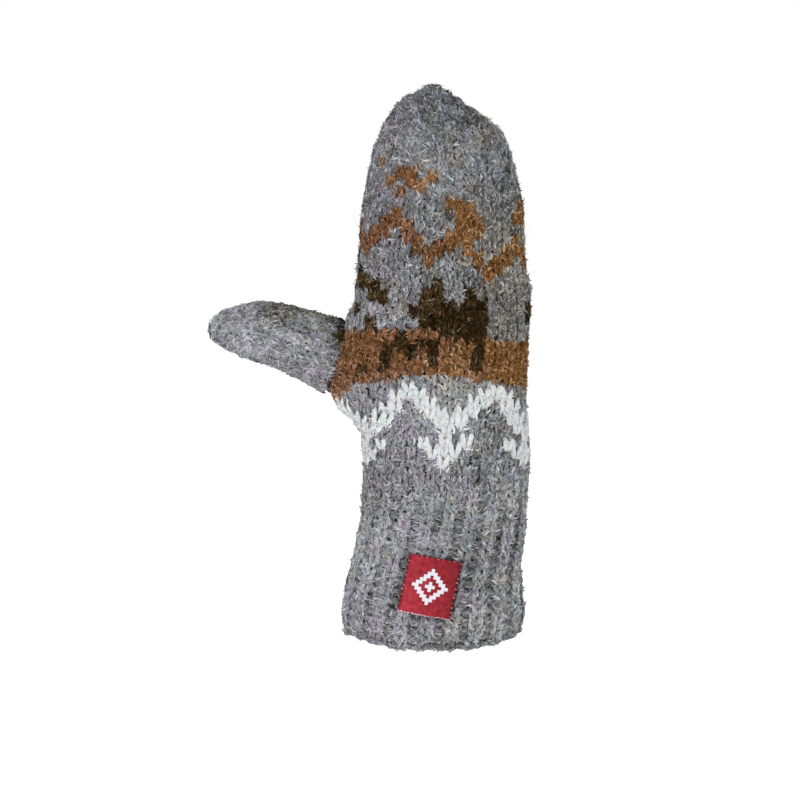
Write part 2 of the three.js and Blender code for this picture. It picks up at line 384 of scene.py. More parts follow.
# Yarns. A wool's shades run along U of the map OFBake from its darkest hair to its palest, and its tints
# along V, so every stitch and hair takes the colour that its own small patch of the map has.
wools = {
    "grey": {
        "slot": "grey_wool",
        "shades": [(0.0, (0.006, 0.006, 0.006)), (0.22, (0.036, 0.0355, 0.038)), (0.5, (0.159, 0.156, 0.164)),
                   (0.75, (0.322, 0.320, 0.340)), (1.0, (0.472, 0.468, 0.492))],
        "tints": [(0.0, (0.96, 0.94, 0.74)), (0.3, (0.98, 0.97, 0.88)), (0.52, (0.91, 0.975, 0.97)),
                  (0.72, (0.97, 0.96, 0.99)), (1.0, (1.0, 0.905, 0.98))],
        "streaks": 1.05,
        "contrast": 1.0,
        "sheen": 0.1,
        "gloss": 0.1,
    },
    "white": {
        "slot": "white_wool",
        "shades": [(0.0, (0.32, 0.325, 0.33)), (0.3, (0.50, 0.51, 0.515)), (0.6, (0.60, 0.615, 0.62)),
                   (1.0, (0.65, 0.665, 0.67))],
        "tints": [(0.0, (0.96, 0.98, 0.95)), (1.0, (1.0, 0.98, 1.0))],
        "streaks": 0.6,
        "contrast": 0.4,
        "reach": 0.75,
        "cover": 1.35,
        "sheen": 0.1,
        "gloss": 0.1,
        "bloom": 1.23,
    },
    "rust": {
        "slot": "rust_wool",
        "shades": [(0.0, (0.013, 0.007, 0.003)), (0.25, (0.055, 0.028, 0.010)), (0.5, (0.138, 0.058, 0.019)),
                   (0.72, (0.25, 0.126, 0.058)), (1.0, (0.44, 0.30, 0.20))],
        "tints": [(0.0, (0.97, 0.92, 0.62)), (0.35, (1.0, 0.96, 0.8)), (0.6, (1.0, 1.0, 1.0)),
                  (1.0, (1.0, 0.86, 1.0))],
        "streaks": 1.3,
        "contrast": 0.9,
        "sheen": 0.05,
        "gloss": 0.06,
        "bloom": 1.08,
    },
    "brown": {
        "slot": "brown_wool",
        "shades": [(0.0, (0.003, 0.002, 0.001)), (0.3, (0.011, 0.006, 0.002)), (0.6, (0.036, 0.022, 0.008)),
                   (0.85, (0.09, 0.060, 0.028)), (1.0, (0.20, 0.155, 0.095))],
        "tints": [(0.0, (1.0, 1.0, 0.85)), (1.0, (1.0, 0.90, 0.9))],
        "streaks": 1.0,
        "contrast": 0.8,
        "sheen": 0.0,
        "gloss": 0.03,
        "bloom": 1.06,
    },
    "curl": {
        "shades": [(0.0, (0.30, 0.25, 0.17)), (0.5, (0.48, 0.42, 0.31)), (1.0, (0.66, 0.60, 0.48))],
        "tints": [(0.0, (1.0, 0.97, 0.86)), (1.0, (1.0, 1.0, 1.0))],
        "streaks": 0.3,
        "sheen": 0.0,
        "gloss": 0.2,
    },
    "thread": {
        "shades": [(0.0, (0.20, 0.03, 0.04)), (0.5, (0.62, 0.30, 0.33)), (1.0, (0.85, 0.66, 0.68))],
        "tints": [(0.0, (1.0, 1.0, 1.0)), (1.0, (1.0, 0.97, 1.0))],
        "streaks": 0.3,
        "sheen": 0.0,
        "gloss": 0.3,
    },
}


fibre = {
    "streaksAcross": 250,  # over the whole of U
    "streaksAlong": 26,  # over the whole of V
    "roughness": 0.92,
    "relief": 0.25 * mm,
}


def newMaterial(name):
    material = bpy.data.materials.new(name)
    material.use_nodes = True
    material.node_tree.nodes.clear()
    return material, Nodes(material.node_tree)


def woolMaterial(name, look):
    material, nodes = newMaterial(name)
    shade = nodes.add("ShaderNodeSeparateXYZ", {}, {0: nodes.add("ShaderNodeUVMap", {"uv_map": "OFBake"})})
    tint = shade.out("Y")
    swatch = {0: shade * fibre["streaksAcross"], 1: tint * fibre["streaksAlong"]}
    streak = nodes.noise(nodes.add("ShaderNodeCombineXYZ", {}, swatch), 1.0, 2.0, 0.6, "2D")
    picked = shade + (streak - 0.5) * look["streaks"]
    plain = nodes.add("ShaderNodeValToRGB", {"stops": look["shades"]}, {0: picked})
    cast = nodes.add("ShaderNodeValToRGB", {"stops": look["tints"]}, {0: tint})
    colour = nodes.mixColours(1.0, plain, cast, "MULTIPLY")
    bump = nodes.add("ShaderNodeBump", {}, {"Strength": 0.6, "Distance": fibre["relief"], "Height": streak})
    nodes.setSurface({
        "Base Color": colour,
        "Roughness": fibre["roughness"],
        "Specular IOR Level": look["gloss"],
        "Sheen Weight": look["sheen"],
        "Sheen Roughness": 0.5,
        "Normal": bump,
    })
    return material


for name, look in wools.items():
    look["material"] = woolMaterial(name + "Wool", look)


# Stitch: two legs that rise from the middle of the stitch below and lean out to its sides
stitch = {
    "width": 4.95 * mm,
    "height": 4.13 * mm,
    "rows": [  # place along a leg: across in widths, up in heights, out and half thickness in mm
        {"across": 0.03, "up": -0.50, "out": -1.2, "thick": 0.0},
        {"across": 0.12, "up": -0.18, "out": -0.15, "thick": 0.9},
        {"across": 0.22, "up": 0.22, "out": 0.2, "thick": 1.04},
        {"across": 0.31, "up": 0.66, "out": 0.05, "thick": 0.96},
        {"across": 0.39, "up": 1.16, "out": -1.0, "thick": 0.0},
    ],
    "flat": 0.72,  # how flat the leg is pressed
    "sides": 5,
    "sunk": 0.85 * mm,  # the legs' middle line lies this far inside the frame's skin
}


# Closed tubes with pointed ends. A run is a tube's centres, its half thicknesses and how far it leans.
def tubeMesh(name, runs, sides, flat=1.0):
    mesh = bmesh.new()
    lay = mesh.loops.layers.uv.new("lay")
    lean = mesh.verts.layers.float.new("lean")
    for centres, thick, slope in runs:
        last = len(centres) - 1
        rings = []
        for i, (centre, half) in enumerate(zip(centres, thick)):
            ahead = (centres[min(i + 1, last)] - centres[max(i - 1, 0)]).normalized()
            side = ahead.cross(Vector((0, 0, 1))).normalized()
            out = side.cross(ahead)
            count = sides if 0 < i < last else 1
            ring = []
            for k in range(count):
                turn = 2 * math.pi * k / sides
                reach = 0 if count == 1 else half
                offset = side * math.sin(turn) * reach - out * math.cos(turn) * reach * flat
                ring.append(mesh.verts.new(centre + offset))
            rings.append(ring)
        for vert in [v for ring in rings for v in ring]:
            vert[lean] = slope
        for i in range(last):
            lower, upper = rings[i], rings[i + 1]
            for k in range(sides):
                n = (k + 1) % sides
                corners = [(lower[k % len(lower)], k, i), (lower[n % len(lower)], k + 1, i),
                           (upper[n % len(upper)], k + 1, i + 1), (upper[k % len(upper)], k, i + 1)]
                if len(lower) == 1:
                    corners = [(lower[0], k + 0.5, i), corners[2], corners[3]]
                elif len(upper) == 1:
                    corners = [corners[0], corners[1], (upper[0], k + 0.5, i + 1)]
                face = mesh.faces.new([corner[0] for corner in corners])
                face.smooth = True
                for loop, (_, around, step) in zip(face.loops, corners):
                    loop[lay].uv = (around / sides, step / last)
    return finishMesh(name, mesh, outwards=True)


patterns = bpy.data.collections.new("patterns")  # shapes that are only copied from
bpy.context.scene.collection.children.link(patterns)


def makeStitchShape():
    wide, tall, rows = stitch["width"], stitch["height"], stitch["rows"]
    runs = []
    for side in (-1, 1):
        centres = [Vector((side * row["across"] * wide, row["up"] * tall, row["out"] * mm)) for row in rows]
        thick = [row["thick"] * mm for row in rows]
        rise = centres[-2] - centres[1]
        runs.append((centres, thick, rise.x / rise.y))
    return newObject("stitchShape", tubeMesh("stitchShape", runs, stitch["sides"], stitch["flat"]), patterns)


purl = {
    "across": 0.6,  # half its length, in widths
    "arch": 0.20,  # in heights
    "out": 0.3,  # in mm
    "fall": 0.7,  # how much deeper its ends lie, in mm
    "thick": 1.2,  # half its thickness, in mm
    "lean": 3.0,  # how far its hairs turn from up to across
}


# Purl bump: a low bow that lies across the column
def makePurlShape():
    steps = [-1, -0.75, 0, 0.75, 1]
    centres = []
    for step in steps:
        up = purl["arch"] * (1 - step ** 2) * stitch["height"]
        out = (purl["out"] - purl["fall"] * step ** 4) * mm
        centres.append(Vector((step * purl["across"] * stitch["width"], up, out)))
    thick = [purl["thick"] * mm * (1 if abs(step) < 1 else 0) for step in steps]
    made = tubeMesh("purlShape", [(centres, thick, purl["lean"])], stitch["sides"])
    return newObject("purlShape", made, patterns)


square = ((-1, -1), (1, -1), (1, 1), (-1, 1))


# Pad: a flat patch the size of a stitch, which only carries felt and curls and isn't kept
def makePadShape():
    mesh = bmesh.new()
    lean = mesh.verts.layers.float.new("lean")
    corners = [mesh.verts.new((x * stitch["width"] / 2, y * stitch["height"] / 2, stitch["sunk"]))
               for x, y in square]
    for corner in corners:
        corner[lean] = 0.0
    mesh.faces.new(corners)
    return newObject("padShape", finishMesh("padShape", mesh), patterns)


stitchShape = makeStitchShape()
purlShape = makePurlShape()
padShape = makePadShape()


# Chart of the colourwork. Columns are counted from the left peak of the white zigzag and rows from the hem.
chart = {
    "columns": 40,
    "repeat": 20,
    "repeatFrom": -7,
    # The arrow's stitches are counted sideways from a valley of the zigzag and down from its top
    "white": {"top": 28, "period": 8, "arrow": ((0, 6), (0, 7), (0, 8), (1, 7), (2, 6))},
    "rust": {"ground": (30, 34), "zigzagPeaks": (-2, 4, 10, 17, 24, 31), "zigzagTop": 45, "zigzagDepth": 3},
    "figure": {  # rows of the dark brown stitches, column by column
        -7: (40,), -6: (36, 38, 39), -5: (38,), -4: (31, 35, 37, 38), -3: (37,), -2: (31, 32, 33),
        -1: (33, 34), 0: (32, 33, 36), 1: (33, 35, 36, 37, 38), 2: (31, 32, 33, 35, 36, 37, 38, 39),
        3: (34, 35, 36, 37), 4: (34, 35, 36, 37), 5: (34, 35, 36, 37, 38, 39),
        6: (31, 32, 33, 34, 35, 36, 37, 38), 11: (37, 38), 12: (37,),
    },
    "leaves": {  # rows of the rust stitches near the tip
        -4: (50,), -3: (48,), -2: (47, 49), -1: (48, 49), 0: (48,), 1: (49,),
        3: (47,), 4: (46, 47), 5: (45, 46, 47), 6: (45, 46), 10: (47,), 11: (47, 48),
    },
}
halfRound = chart["columns"] // 2


# Yarn of a stitch. The thumb's extra columns are no part of the chart and come as None.
def yarnAt(column, row):
    white, rust = chart["white"], chart["rust"]
    inGround = rust["ground"][0] <= row <= rust["ground"][1]
    if column is None:
        return "rust" if inGround else "grey"
    step = column % white["period"]
    fall = min(step, white["period"] - step)
    below = white["top"] - row
    fromValley = white["period"] // 2 - fall
    if below in (fall, fall + 1) or (fromValley, below) in white["arrow"]:
        return "white"
    inRepeat = (column - chart["repeatFrom"]) % chart["repeat"] + chart["repeatFrom"]
    if row in chart["figure"].get(inRepeat, ()):
        return "brown"
    if inGround or row in chart["leaves"].get(inRepeat, ()):
        return "rust"
    ways = [column - peak + halfRound for peak in rust["zigzagPeaks"]]
    near = min(abs(way % chart["columns"] - halfRound) for way in ways)
    if rust["zigzagTop"] - row - min(near, rust["zigzagDepth"]) in (0, 1):
        return "rust"
    return "grey"


# Where each row lies, in millimetres: its height at the middle of the back, how much lower it lies at the
# left side, halfway to it, halfway to the right side and at the right side, and how far its columns drift to
# the left on the left and the right half of the back.
rowGuide = [
    {"row": 0, "z": 1.3, "falls": (0.0, 0.0, 0.0, 0.0), "drifts": (0.0, 0.0)},
    {"row": 16, "z": 70.8, "falls": (0.0, 0.0, 0.0, 0.0), "drifts": (0.0, 0.0)},
    {"row": 20, "z": 87.4, "falls": (1.0, 0.2, -0.4, 1.0), "drifts": (0.0, 0.0)},
    {"row": 24, "z": 106.2, "falls": (5.4, 1.8, 0.4, 6.5), "drifts": (0.6, 0.3)},
    {"row": 27, "z": 118.8, "falls": (6.4, -0.4, -0.8, 3.8), "drifts": (1.0, 0.9)},
    {"row": 30, "z": 129.0, "falls": (5.6, -0.2, 1.9, 7.2), "drifts": (2.8, 0.3)},
    {"row": 34, "z": 146.2, "falls": (3.0, 0.6, 3.9, 8.0), "drifts": (1.7, 0.2)},
    {"row": 38, "z": 164.0, "falls": (-5.4, -2.0, 5.2, 9.0), "drifts": (-0.4, 0.2)},
    {"row": 41, "z": 177.8, "falls": (-6.6, -2.5, 4.7, 9.0), "drifts": (2.7, 1.9)},
    {"row": 44, "z": 191.4, "falls": (-7.0, -3.6, 4.8, 10.0), "drifts": (4.2, 1.9)},
    {"row": 50, "z": 220.6, "falls": (-5.0, -2.6, 4.0, 8.0), "drifts": (2.6, 0.5)},
    {"row": 53, "z": 235.3, "falls": (-3.0, -1.5, 2.5, 5.0), "drifts": (0.0, 0.0)},
]
ribRows = 16
# Which column lies at the middle of the back at which height: the columns lean with the forearm
columnGuide = {
    "heights": (0, 70, 84, 101, 113, 124, 134, 155, 188, 258),
    "columns": (5.92, 4.56, 4.62, 4.05, 3.43, 3.3, 3.2, 2.75, 2.28, 2.2),
}
# Which share of a row's drift a column takes, by how many columns it lies from the middle of the back
driftShare = {
    "left": ((-10, -7, -2.5, 0), (0, 1, 0.15, 0)),
    "right": ((0, 4.8, 7, 10), (0, 1, 0.5, 0)),
}
# How many millimetres lower each further column towards the thumb lies, at which row
gusset = {"rows": (24, 27, 30, 34), "falls": (1.2, 3.2, 3.6, 1.0)}
# Where the tip is drawn together, and how far its last rows are drawn in and down
closing = {
    "feltedFrom": 46,  # the row
    "spacing": 3.9 * mm,
    "narrowest": 4.3 * mm,
    "top": (250 * mm, 257 * mm),
    "down": 1.3 * mm,
    "shoulder": (238 * mm, 244 * mm, 250 * mm, 257 * mm),  # the right one is drawn in at these heights
    "shoulderFrom": (8 * mm, 18 * mm),  # in X
    "drawnIn": 2.3 * mm,
}


def addClosingRows():
    low = rowGuide[-1]
    levels = np.linspace(low["z"] * mm, bodySkin["to"], 60)
    points = np.array([body.at(0.0, z) for z in levels])
    lengths = np.concatenate([[0], np.cumsum(np.linalg.norm(np.diff(points, axis=0), axis=1))])
    count = int(lengths[-1] / closing["spacing"])
    for k in range(1, count + 1):
        z = float(np.interp(lengths[-1] * k / count, lengths, levels)) / mm
        fade = 1 - k / count
        falls = tuple(fall * fade for fall in low["falls"])
        rowGuide.append({"row": low["row"] + k, "z": z, "falls": falls, "drifts": (0.0, 0.0)})


addClosingRows()
topRow = rowGuide[-1]["row"]
guideRows = [guide["row"] for guide in rowGuide]
guideHeights = [guide["z"] for guide in rowGuide]
guideFalls = [guide["falls"] for guide in rowGuide]
guideDrifts = [guide["drifts"] for guide in rowGuide]


# Height of a row at a side, where -1 is the left side and 1 the right side
def rowHeight(row, side=0.0):
    middle = np.interp(row, guideRows, guideHeights)
    left, midLeft, midRight, right = [np.interp(row, guideRows, column) for column in zip(*guideFalls)]
    falls = [np.interp(side + shift, (-1, -0.5, 0, 0.5, 1), (left, midLeft, 0.0, midRight, right))
             for shift in (-0.15, 0, 0.15)]
    return (middle - sum(falls) / 3) * mm


# How far a column of the back lies further left than even widths would put it
def driftOf(offset, row):
    left, right = [np.interp(row, guideRows, column) for column in zip(*guideDrifts)]
    toLeft, toRight = [np.interp(offset, *driftShare[side]) for side in ("left", "right")]
    return (left * toLeft + right * toRight) * mm


def measureRow(row):
    z = rowHeight(row)
    around = body.length(z)
    rightHalf = body.rightHalf(z)
    leftHalf = around - rightHalf
    width = rightHalf / halfRound
    leftWidth = leftHalf / round(leftHalf / width)
    if width < closing["narrowest"]:
        width = leftWidth = closing["narrowest"]
    front = float(np.interp(z / mm, columnGuide["heights"], columnGuide["columns"]))
    return {"around": around, "rightHalf": rightHalf, "leftHalf": leftHalf, "front": front,
            "rightWidth": width, "leftWidth": leftWidth}


# Place of a column in a row, as a share of the way round and a height. Columns are counted from the middle
# of the back or of the palm, so that what the thumb needs more of lies between them on its side.
def placeOf(column, row, palm):
    m = measureRow(row)
    offset = column - m["front"] - (halfRound if palm else 0)
    toRight = (offset > 0) != palm
    width = m["rightWidth"] if toRight else m["leftWidth"]
    start = m["rightHalf"] if palm else -driftOf(offset, row)
    share = (start + offset * width) / m["around"]
    beyond = max(0.0, abs(offset) - halfRound / 2)
    side = math.sin(math.pi * min(abs(offset), halfRound / 2) / halfRound) * (1 if toRight else -1)
    lower = 0 if toRight else beyond * np.interp(row, gusset["rows"], gusset["falls"]) * mm
    return share, rowHeight(row, side) - lower


# Columns of a row. Where the mitten narrows, they keep their width and run out at its two sides.
def columnsOf(row):
    m = measureRow(row)
    places = []
    for palm in (False, True):
        middle = m["front"] + (halfRound if palm else 0)
        for column in range(math.floor(middle) - halfRound, math.floor(middle) + halfRound + 1):
            offset = column - middle
            toRight = (offset > 0) != palm
            room = m["rightHalf"] / m["rightWidth"] if toRight else m["leftHalf"] / m["leftWidth"]
            if abs(offset) < room / 2 + (0.0 if palm else 0.02):
                places.append((column, palm, abs(offset) > halfRound / 2 + 0.5))
    return places


# Dark stitches beside the thumb's root, and the lower edge of the rust band there: its height at these X
joint = {
    "from": -0.036,  # nothing right of this X is near the root
    "outline": 0.9,  # the root's outline, squared, as a share of the thumb's
    "covered": 0.75,  # a stitch nearer than this is left out
    "reach": 1.5,  # and one nearer than this, in these rows, is dark
    "rows": (34, 35, 36),
    "bandX": (-44, -40.5, -38, -33.6, -30),
    "bandZ": (110, 116, 120, 122.5, 125),
}


# How near a place on the body is to the thumb's root: about 1 where the thumb's outline meets the body
def thumbRoot(point):
    if point[0] > joint["from"]:
        return math.inf
    k = int(np.argmin(np.abs(thumbMiddle[:, 0] - point[0])))
    ring = thumb.rings[k]
    tall = np.ptp(ring[:, 2]) / 2
    deep = np.ptp(ring[:, 1]) / 2
    return float(((point[2] - thumbMiddle[k, 2]) / tall) ** 2 + (point[1] / deep) ** 2) / joint["outline"]


handwork = {"shift": 0.22 * mm, "twist": 0.06, "size": 0.06, "shade": 0.05, "tint": 0.16}  # how uneven it is
slow = {"scale": 42.0, "amount": 0.08, "tint": 0.1}  # broad clouds of lighter and darker yarn
# The grey of the cuff and thumb is paler and cooler than that of the fingers, which is greener on the right
# It holds the yarn's own tones and also painted light and shade, each marked below
dyeAndPaintedLight = {
    "middle": 0.475,
    "pale": 0.105,
    "paleBelow": (117 * mm, 142 * mm),
    "paleBeyond": -0.05,  # in X: the whole thumb is pale
    # painted light: the left edge below the thumb is lighter, as lit from the left
    "paintedLightLeft": 0.13,  # the left edge below the thumb
    "leftFrom": (29 * mm, 39 * mm),
    "leftBelow": (100 * mm, 112 * mm),
    # darker towards the right: partly the yarn's darker grey, partly painted shade away from the light
    "rightShadeAndYarn": 0.08,
    "rightFrom": (-10 * mm, 40 * mm),
    "darkerPlaces": (  # darker places: middle in X and Z, radius, how much
        {"at": (8 * mm, 243 * mm), "radius": 17 * mm, "dark": 0.11},
        {"at": (-24 * mm, 174 * mm), "radius": 12 * mm, "dark": 0.05},
        {"at": (4 * mm, 7 * mm), "radius": 13 * mm, "dark": 0.15},
        {"at": (33 * mm, 8 * mm), "radius": 12 * mm, "dark": -0.09},
    ),
    # painted shade: where the thumb's upper side faces up it is darker and greener
    "paintedThumbShade": 0.27,  # the thumb's upper side is darker and greener towards its root
    "thumbTopFrom": (-86 * mm, -66 * mm),
    "thumbTopTo": -0.04,
    "thumbTopFacing": (0.3, 0.62),
    # painted relief on the cuff: purl furrows darker as painted shade, knit ribs lighter as painted light
    "furrow": 0.1,
    "paintedRelief": -0.04,
    "tintLeft": 0.68,
    "tintRight": 0.1,
    "greenFrom": (-25 * mm, 38 * mm),
    "greenAbove": (90 * mm, 150 * mm),
    "tintTip": (195 * mm, 225 * mm),  # the tip is less green
}


def cloud(point, seed):
    x, _, z = np.asarray(point) * slow["scale"]
    broad = np.sin(x * 1.9 + seed) * np.sin(z * 1.3 + 2.1 * seed)
    return float(broad + np.sin(z * 2.7 - x + seed)) / 2


# How much painted shade the thumb's upper side gets, by how far it faces up
def paintedThumbShade(place, out):
    upwards = blend(out[2], *dyeAndPaintedLight["thumbTopFacing"])
    return upwards * blend(place[0], *dyeAndPaintedLight["thumbTopFrom"]) * (place[0] < dyeAndPaintedLight["thumbTopTo"])


def shadeAt(place, out):
    x, _, z = place
    pale = (1 - blend(z, *dyeAndPaintedLight["paleBelow"])) if x > dyeAndPaintedLight["paleBeyond"] else 1.0
    # the lower left edge gets painted light, as lit from the left
    left = blend(-x, *dyeAndPaintedLight["leftFrom"]) * (1 - blend(z, *dyeAndPaintedLight["leftBelow"]))
    # the right gets darker, partly as painted shade
    right = blend(x, *dyeAndPaintedLight["rightFrom"])
    shade = dyeAndPaintedLight["middle"] + dyeAndPaintedLight["pale"] * pale + dyeAndPaintedLight["paintedLightLeft"] * left - dyeAndPaintedLight["rightShadeAndYarn"] * right
    for darkerPlace in dyeAndPaintedLight["darkerPlaces"]:
        far = math.dist((x, z), darkerPlace["at"]) / darkerPlace["radius"]
        shade -= darkerPlace["dark"] * math.exp(-far * far)
    # the thumb's upper side gets painted shade
    return shade - dyeAndPaintedLight["paintedThumbShade"] * paintedThumbShade(place, out) + cloud(place, 1.0) * slow["amount"]


def tintAt(place, out):
    x, _, z = place
    green = blend(x, *dyeAndPaintedLight["greenFrom"]) * (0.35 + 0.65 * blend(z, *dyeAndPaintedLight["greenAbove"]))
    # the painted shade on the thumb's upper side is greener as well
    green = green * (1 - 0.7 * blend(z, *dyeAndPaintedLight["tintTip"])) + paintedThumbShade(place, out)
    return dyeAndPaintedLight["tintLeft"] + (dyeAndPaintedLight["tintRight"] - dyeAndPaintedLight["tintLeft"]) * green + cloud(place, 4.0) * slow["tint"]


# Frame of one stitch on a skin, from its place and those half a row below and above: its place with the
# hand's unevenness, which way is up and out, and how tall it is
def stitchFrame(skin, low, here, high, width):
    share, height = here
    step = width / skin.length(height) * 0.5
    side = skin.at(share + step, height) - skin.at(share - step, height)
    up = skin.at(*high) - skin.at(*low)
    tall = np.linalg.norm(up)
    out = unit(np.cross(side, up))
    place = skin.at(share, height) + draw.normal(0, handwork["shift"], 3)
    up = unit(up + unit(side) * draw.normal(0, handwork["twist"]) * tall)
    return place, up, out, tall


def newCloud():
    return {"place": [], "up": [], "out": [], "size": [], "shade": [], "tint": []}


# Adds a stitch to a cloud. Bloom is how much fuller a yarn's stitches stand.
# Dark lowers its shade: the cuff paints shade into its furrows and light onto its ribs with it
def addStitch(columns, place, up, out, width, height, sunk=stitch["sunk"], bloom=1.0, dark=0.0):
    grow = bloom * (1 + draw.normal(0, handwork["size"]))
    columns["place"].append(place - out * (sunk - (bloom - 1) * 2.5 * mm))
    columns["up"].append(up)
    columns["out"].append(out)
    columns["size"].append((width / stitch["width"] * grow, height / stitch["height"] * grow, 1.0))
    columns["shade"].append(shadeAt(place, out) - dark + draw.normal(0, handwork["shade"]))
    columns["tint"].append(np.clip(tintAt(place, out) + draw.normal(0, handwork["tint"]), 0.02, 0.98))


knits = defaultdict(newCloud)  # the stitches of each solid, yarn and part
rib = {"knitWidth": 1.2, "purlWidth": 0.95, "purlSunk": 0.7 * mm}  # widths of a rib's two columns, in columns
hem = {"height": 1.0 * mm, "droop": 0.9, "sunk": 0.5 * mm, "width": 1.1}  # the bows it is cast on with


# The rust band widens downwards to the thumb's root
def rootYarn(yarn, place, row):
    x, _, z = place / mm
    if x > joint["bandX"][-1] or row > chart["rust"]["ground"][1] or yarn == "brown":
        return yarn
    low = np.interp(x, joint["bandX"], joint["bandZ"])
    if z > low:
        return "rust"
    return "grey" if yarn == "rust" else yarn


def gather(place):
    x, _, z = place
    low, high = closing["shoulder"][:2], closing["shoulder"][2:]
    inwards = closing["drawnIn"] * blend(x, *closing["shoulderFrom"]) * blend(z, *low) * (1 - blend(z, *high))
    return place - (inwards, 0, closing["down"] * blend(z, *closing["top"]))


def knitBody():
    for row in range(ribRows, topRow + 1):
        m = measureRow(row)
        for column, palm, extra in columnsOf(row):
            places = [placeOf(column, row + step, palm) for step in (-0.5, 0, 0.5)]
            left, right = [placeOf(column + step, row, palm)[0] for step in (-0.5, 0.5)]
            width = (right - left) * m["around"]
            place, up, out, tall = stitchFrame(body, *places, width)
            place = gather(place)
            root = thumbRoot(place)
            if root < joint["covered"]:
                continue
            yarn = rootYarn(yarnAt(None if extra else column, row), place, row)
            if root < joint["reach"] and row in joint["rows"]:
                yarn = "brown"
            half = "tip" if row > closing["feltedFrom"] else "palm" if palm else "back"
            bloom = wools[yarn].get("bloom", 1.0)
            addStitch(knits["hand", yarn, half], place, up, out, width, tall, bloom=bloom)


def knitCuff():
    knit, bumps, lobes = [knits["cuff", "grey", part] for part in ("ribs", "furrows", "hem")]
    first = round(columnGuide["columns"][1])
    for row in range(0, ribRows):
        m = measureRow(row)
        width = m["around"] / chart["columns"]
        for column in range(first, first + chart["columns"]):
            places = []
            for step in (-0.5, 0, 0.5):
                here = measureRow(row + step)
                places.append(((column - here["front"]) / chart["columns"], rowHeight(row + step)))
            place, up, out, tall = stitchFrame(body, *places, width)
            if column % 2:
                # a knit rib column, made a little lighter as painted light
                addStitch(knit, place, up, out, width * rib["knitWidth"], tall, dark=dyeAndPaintedLight["paintedRelief"])
                continue
            wide = width * rib["purlWidth"]  # a bow, and the next one half a row up, hanging the other way
            for spot, way in ((place, up), (place + up * tall * 0.5, -up)):
                # the bows down in the furrows are darker as painted shade
                addStitch(bumps, spot, way, out, wide, tall, rib["purlSunk"], dark=dyeAndPaintedLight["furrow"])
    for column in range(chart["columns"]):
        share = (column + 0.5) / chart["columns"]
        places = [(share, hem["height"] + step * mm) for step in (0.0, 0.5, 1.0)]
        place, up, out, _ = stitchFrame(body, *places, width)
        out = unit(out - hem["droop"] * up)
        up = unit(up - out * float(np.dot(up, out)))
        addStitch(lobes, place, up, out, width * hem["width"], stitch["height"], hem["sunk"])


thumbKnit = {
    "columns": 18,
    "narrowest": 3.4 * mm,
    "rowHeight": 4.0 * mm,
    "onSkin": 1.6 * mm,
    # The rust band reaches on to the thumb's root: at these heights up to these X, with dark stitches beyond
    "heights": (113, 118, 128, 134, 141, 151),
    "bandEnds": (-43, -50, -48.5, -46, -42.5, -40.5),
    "fringes": (1.5, 1.5, 0.3, 0.0, 0.8, 2.6),
}


def thumbYarn(place):
    x, _, z = place / mm
    bandEnd = np.interp(z, thumbKnit["heights"], thumbKnit["bandEnds"])
    fringe = np.interp(z, thumbKnit["heights"], thumbKnit["fringes"])
    if x < bandEnd - fringe:
        return "grey"
    return "brown" if x < bandEnd else "rust"


def knitThumb():
    rows = int(thumb.heights[-1] / thumbKnit["rowHeight"])
    step = thumb.heights[-1] / rows
    for row in range(rows):
        here = (row + 0.3) * step
        count = thumbKnit["columns"]
        while thumb.length(here) / count < thumbKnit["narrowest"] and count > 5:
            count = math.ceil(count * 0.7)
        width = thumb.length(here) / count
        for k in range(count):
            places = [((k + 0.5) / count, here + step * part) for part in (-0.5, 0, 0.5)]
            place, up, out, _ = stitchFrame(thumb, *places, width)
            near = thumbTree.find_nearest(Vector(place))
            if near[3] > thumbKnit["onSkin"]:
                continue
            addStitch(knits["thumb", thumbYarn(place), "tube"], place, up, out, width, step)


# The last stitches of the two tips, drawn together over their middles
lastStitches = {"count": 6, "reach": 2.0 * mm, "rise": 0.7 * mm, "width": 3.6 * mm, "height": 3.4 * mm}


def drawTogether(key, middle, ahead):
    across = unit(np.cross(ahead, (0.0, 1.0, 0.0)))
    through = np.cross(ahead, across)
    for k in range(lastStitches["count"]):
        turn = 2 * math.pi * (k + 0.5) / lastStitches["count"]
        up = across * math.cos(turn) + through * math.sin(turn)
        place = middle - up * lastStitches["reach"] + ahead * lastStitches["rise"]
        addStitch(knits[key], place, up, ahead, lastStitches["width"], lastStitches["height"])


knitBody()
knitCuff()
knitThumb()
drawTogether(("hand", "grey", "tip"), body.rings[-1].mean(axis=0), np.array((0.0, 0.0, 1.0)))
drawTogether(("thumb", "grey", "tube"), thumbMiddle[-1], unit(thumbMiddle[-1] - thumbMiddle[-3]))
print("stitches:", {"_".join(key): len(value["place"]) for key, value in knits.items()})


# Makes a tree's copies real and gives them their wool. The map OFBake holds the shade and the way round in
# U, and the tint and the way along in V.
def finishTree(nodes, given, copies):
    joined = nodes.add("GeometryNodeRealizeInstances", {}, {"Geometry": copies})
    width, length = given.out("Patch Width"), given.out("Patch Length")
    lay = nodes.add("ShaderNodeSeparateXYZ", {}, {0: nodes.attribute("lay", "FLOAT_VECTOR")})
    u = nodes.attribute("shade") * (1 - width) + lay * width
    v = nodes.attribute("tint") * (1 - length) + lay.out("Y") * length
    place = nodes.add("ShaderNodeCombineXYZ", {}, {0: u, 1: v})
    mapped = nodes.add("GeometryNodeStoreNamedAttribute", {"data_type": "FLOAT2", "domain": "CORNER"},
                       {"Geometry": joined, "Name": "OFBake", "Value": place})
    coloured = nodes.add("GeometryNodeSetMaterial", {}, {"Geometry": mapped, "Material": given.out("Wool")})
    nodes.add("NodeGroupOutput", {}, {"Geometry": coloured})


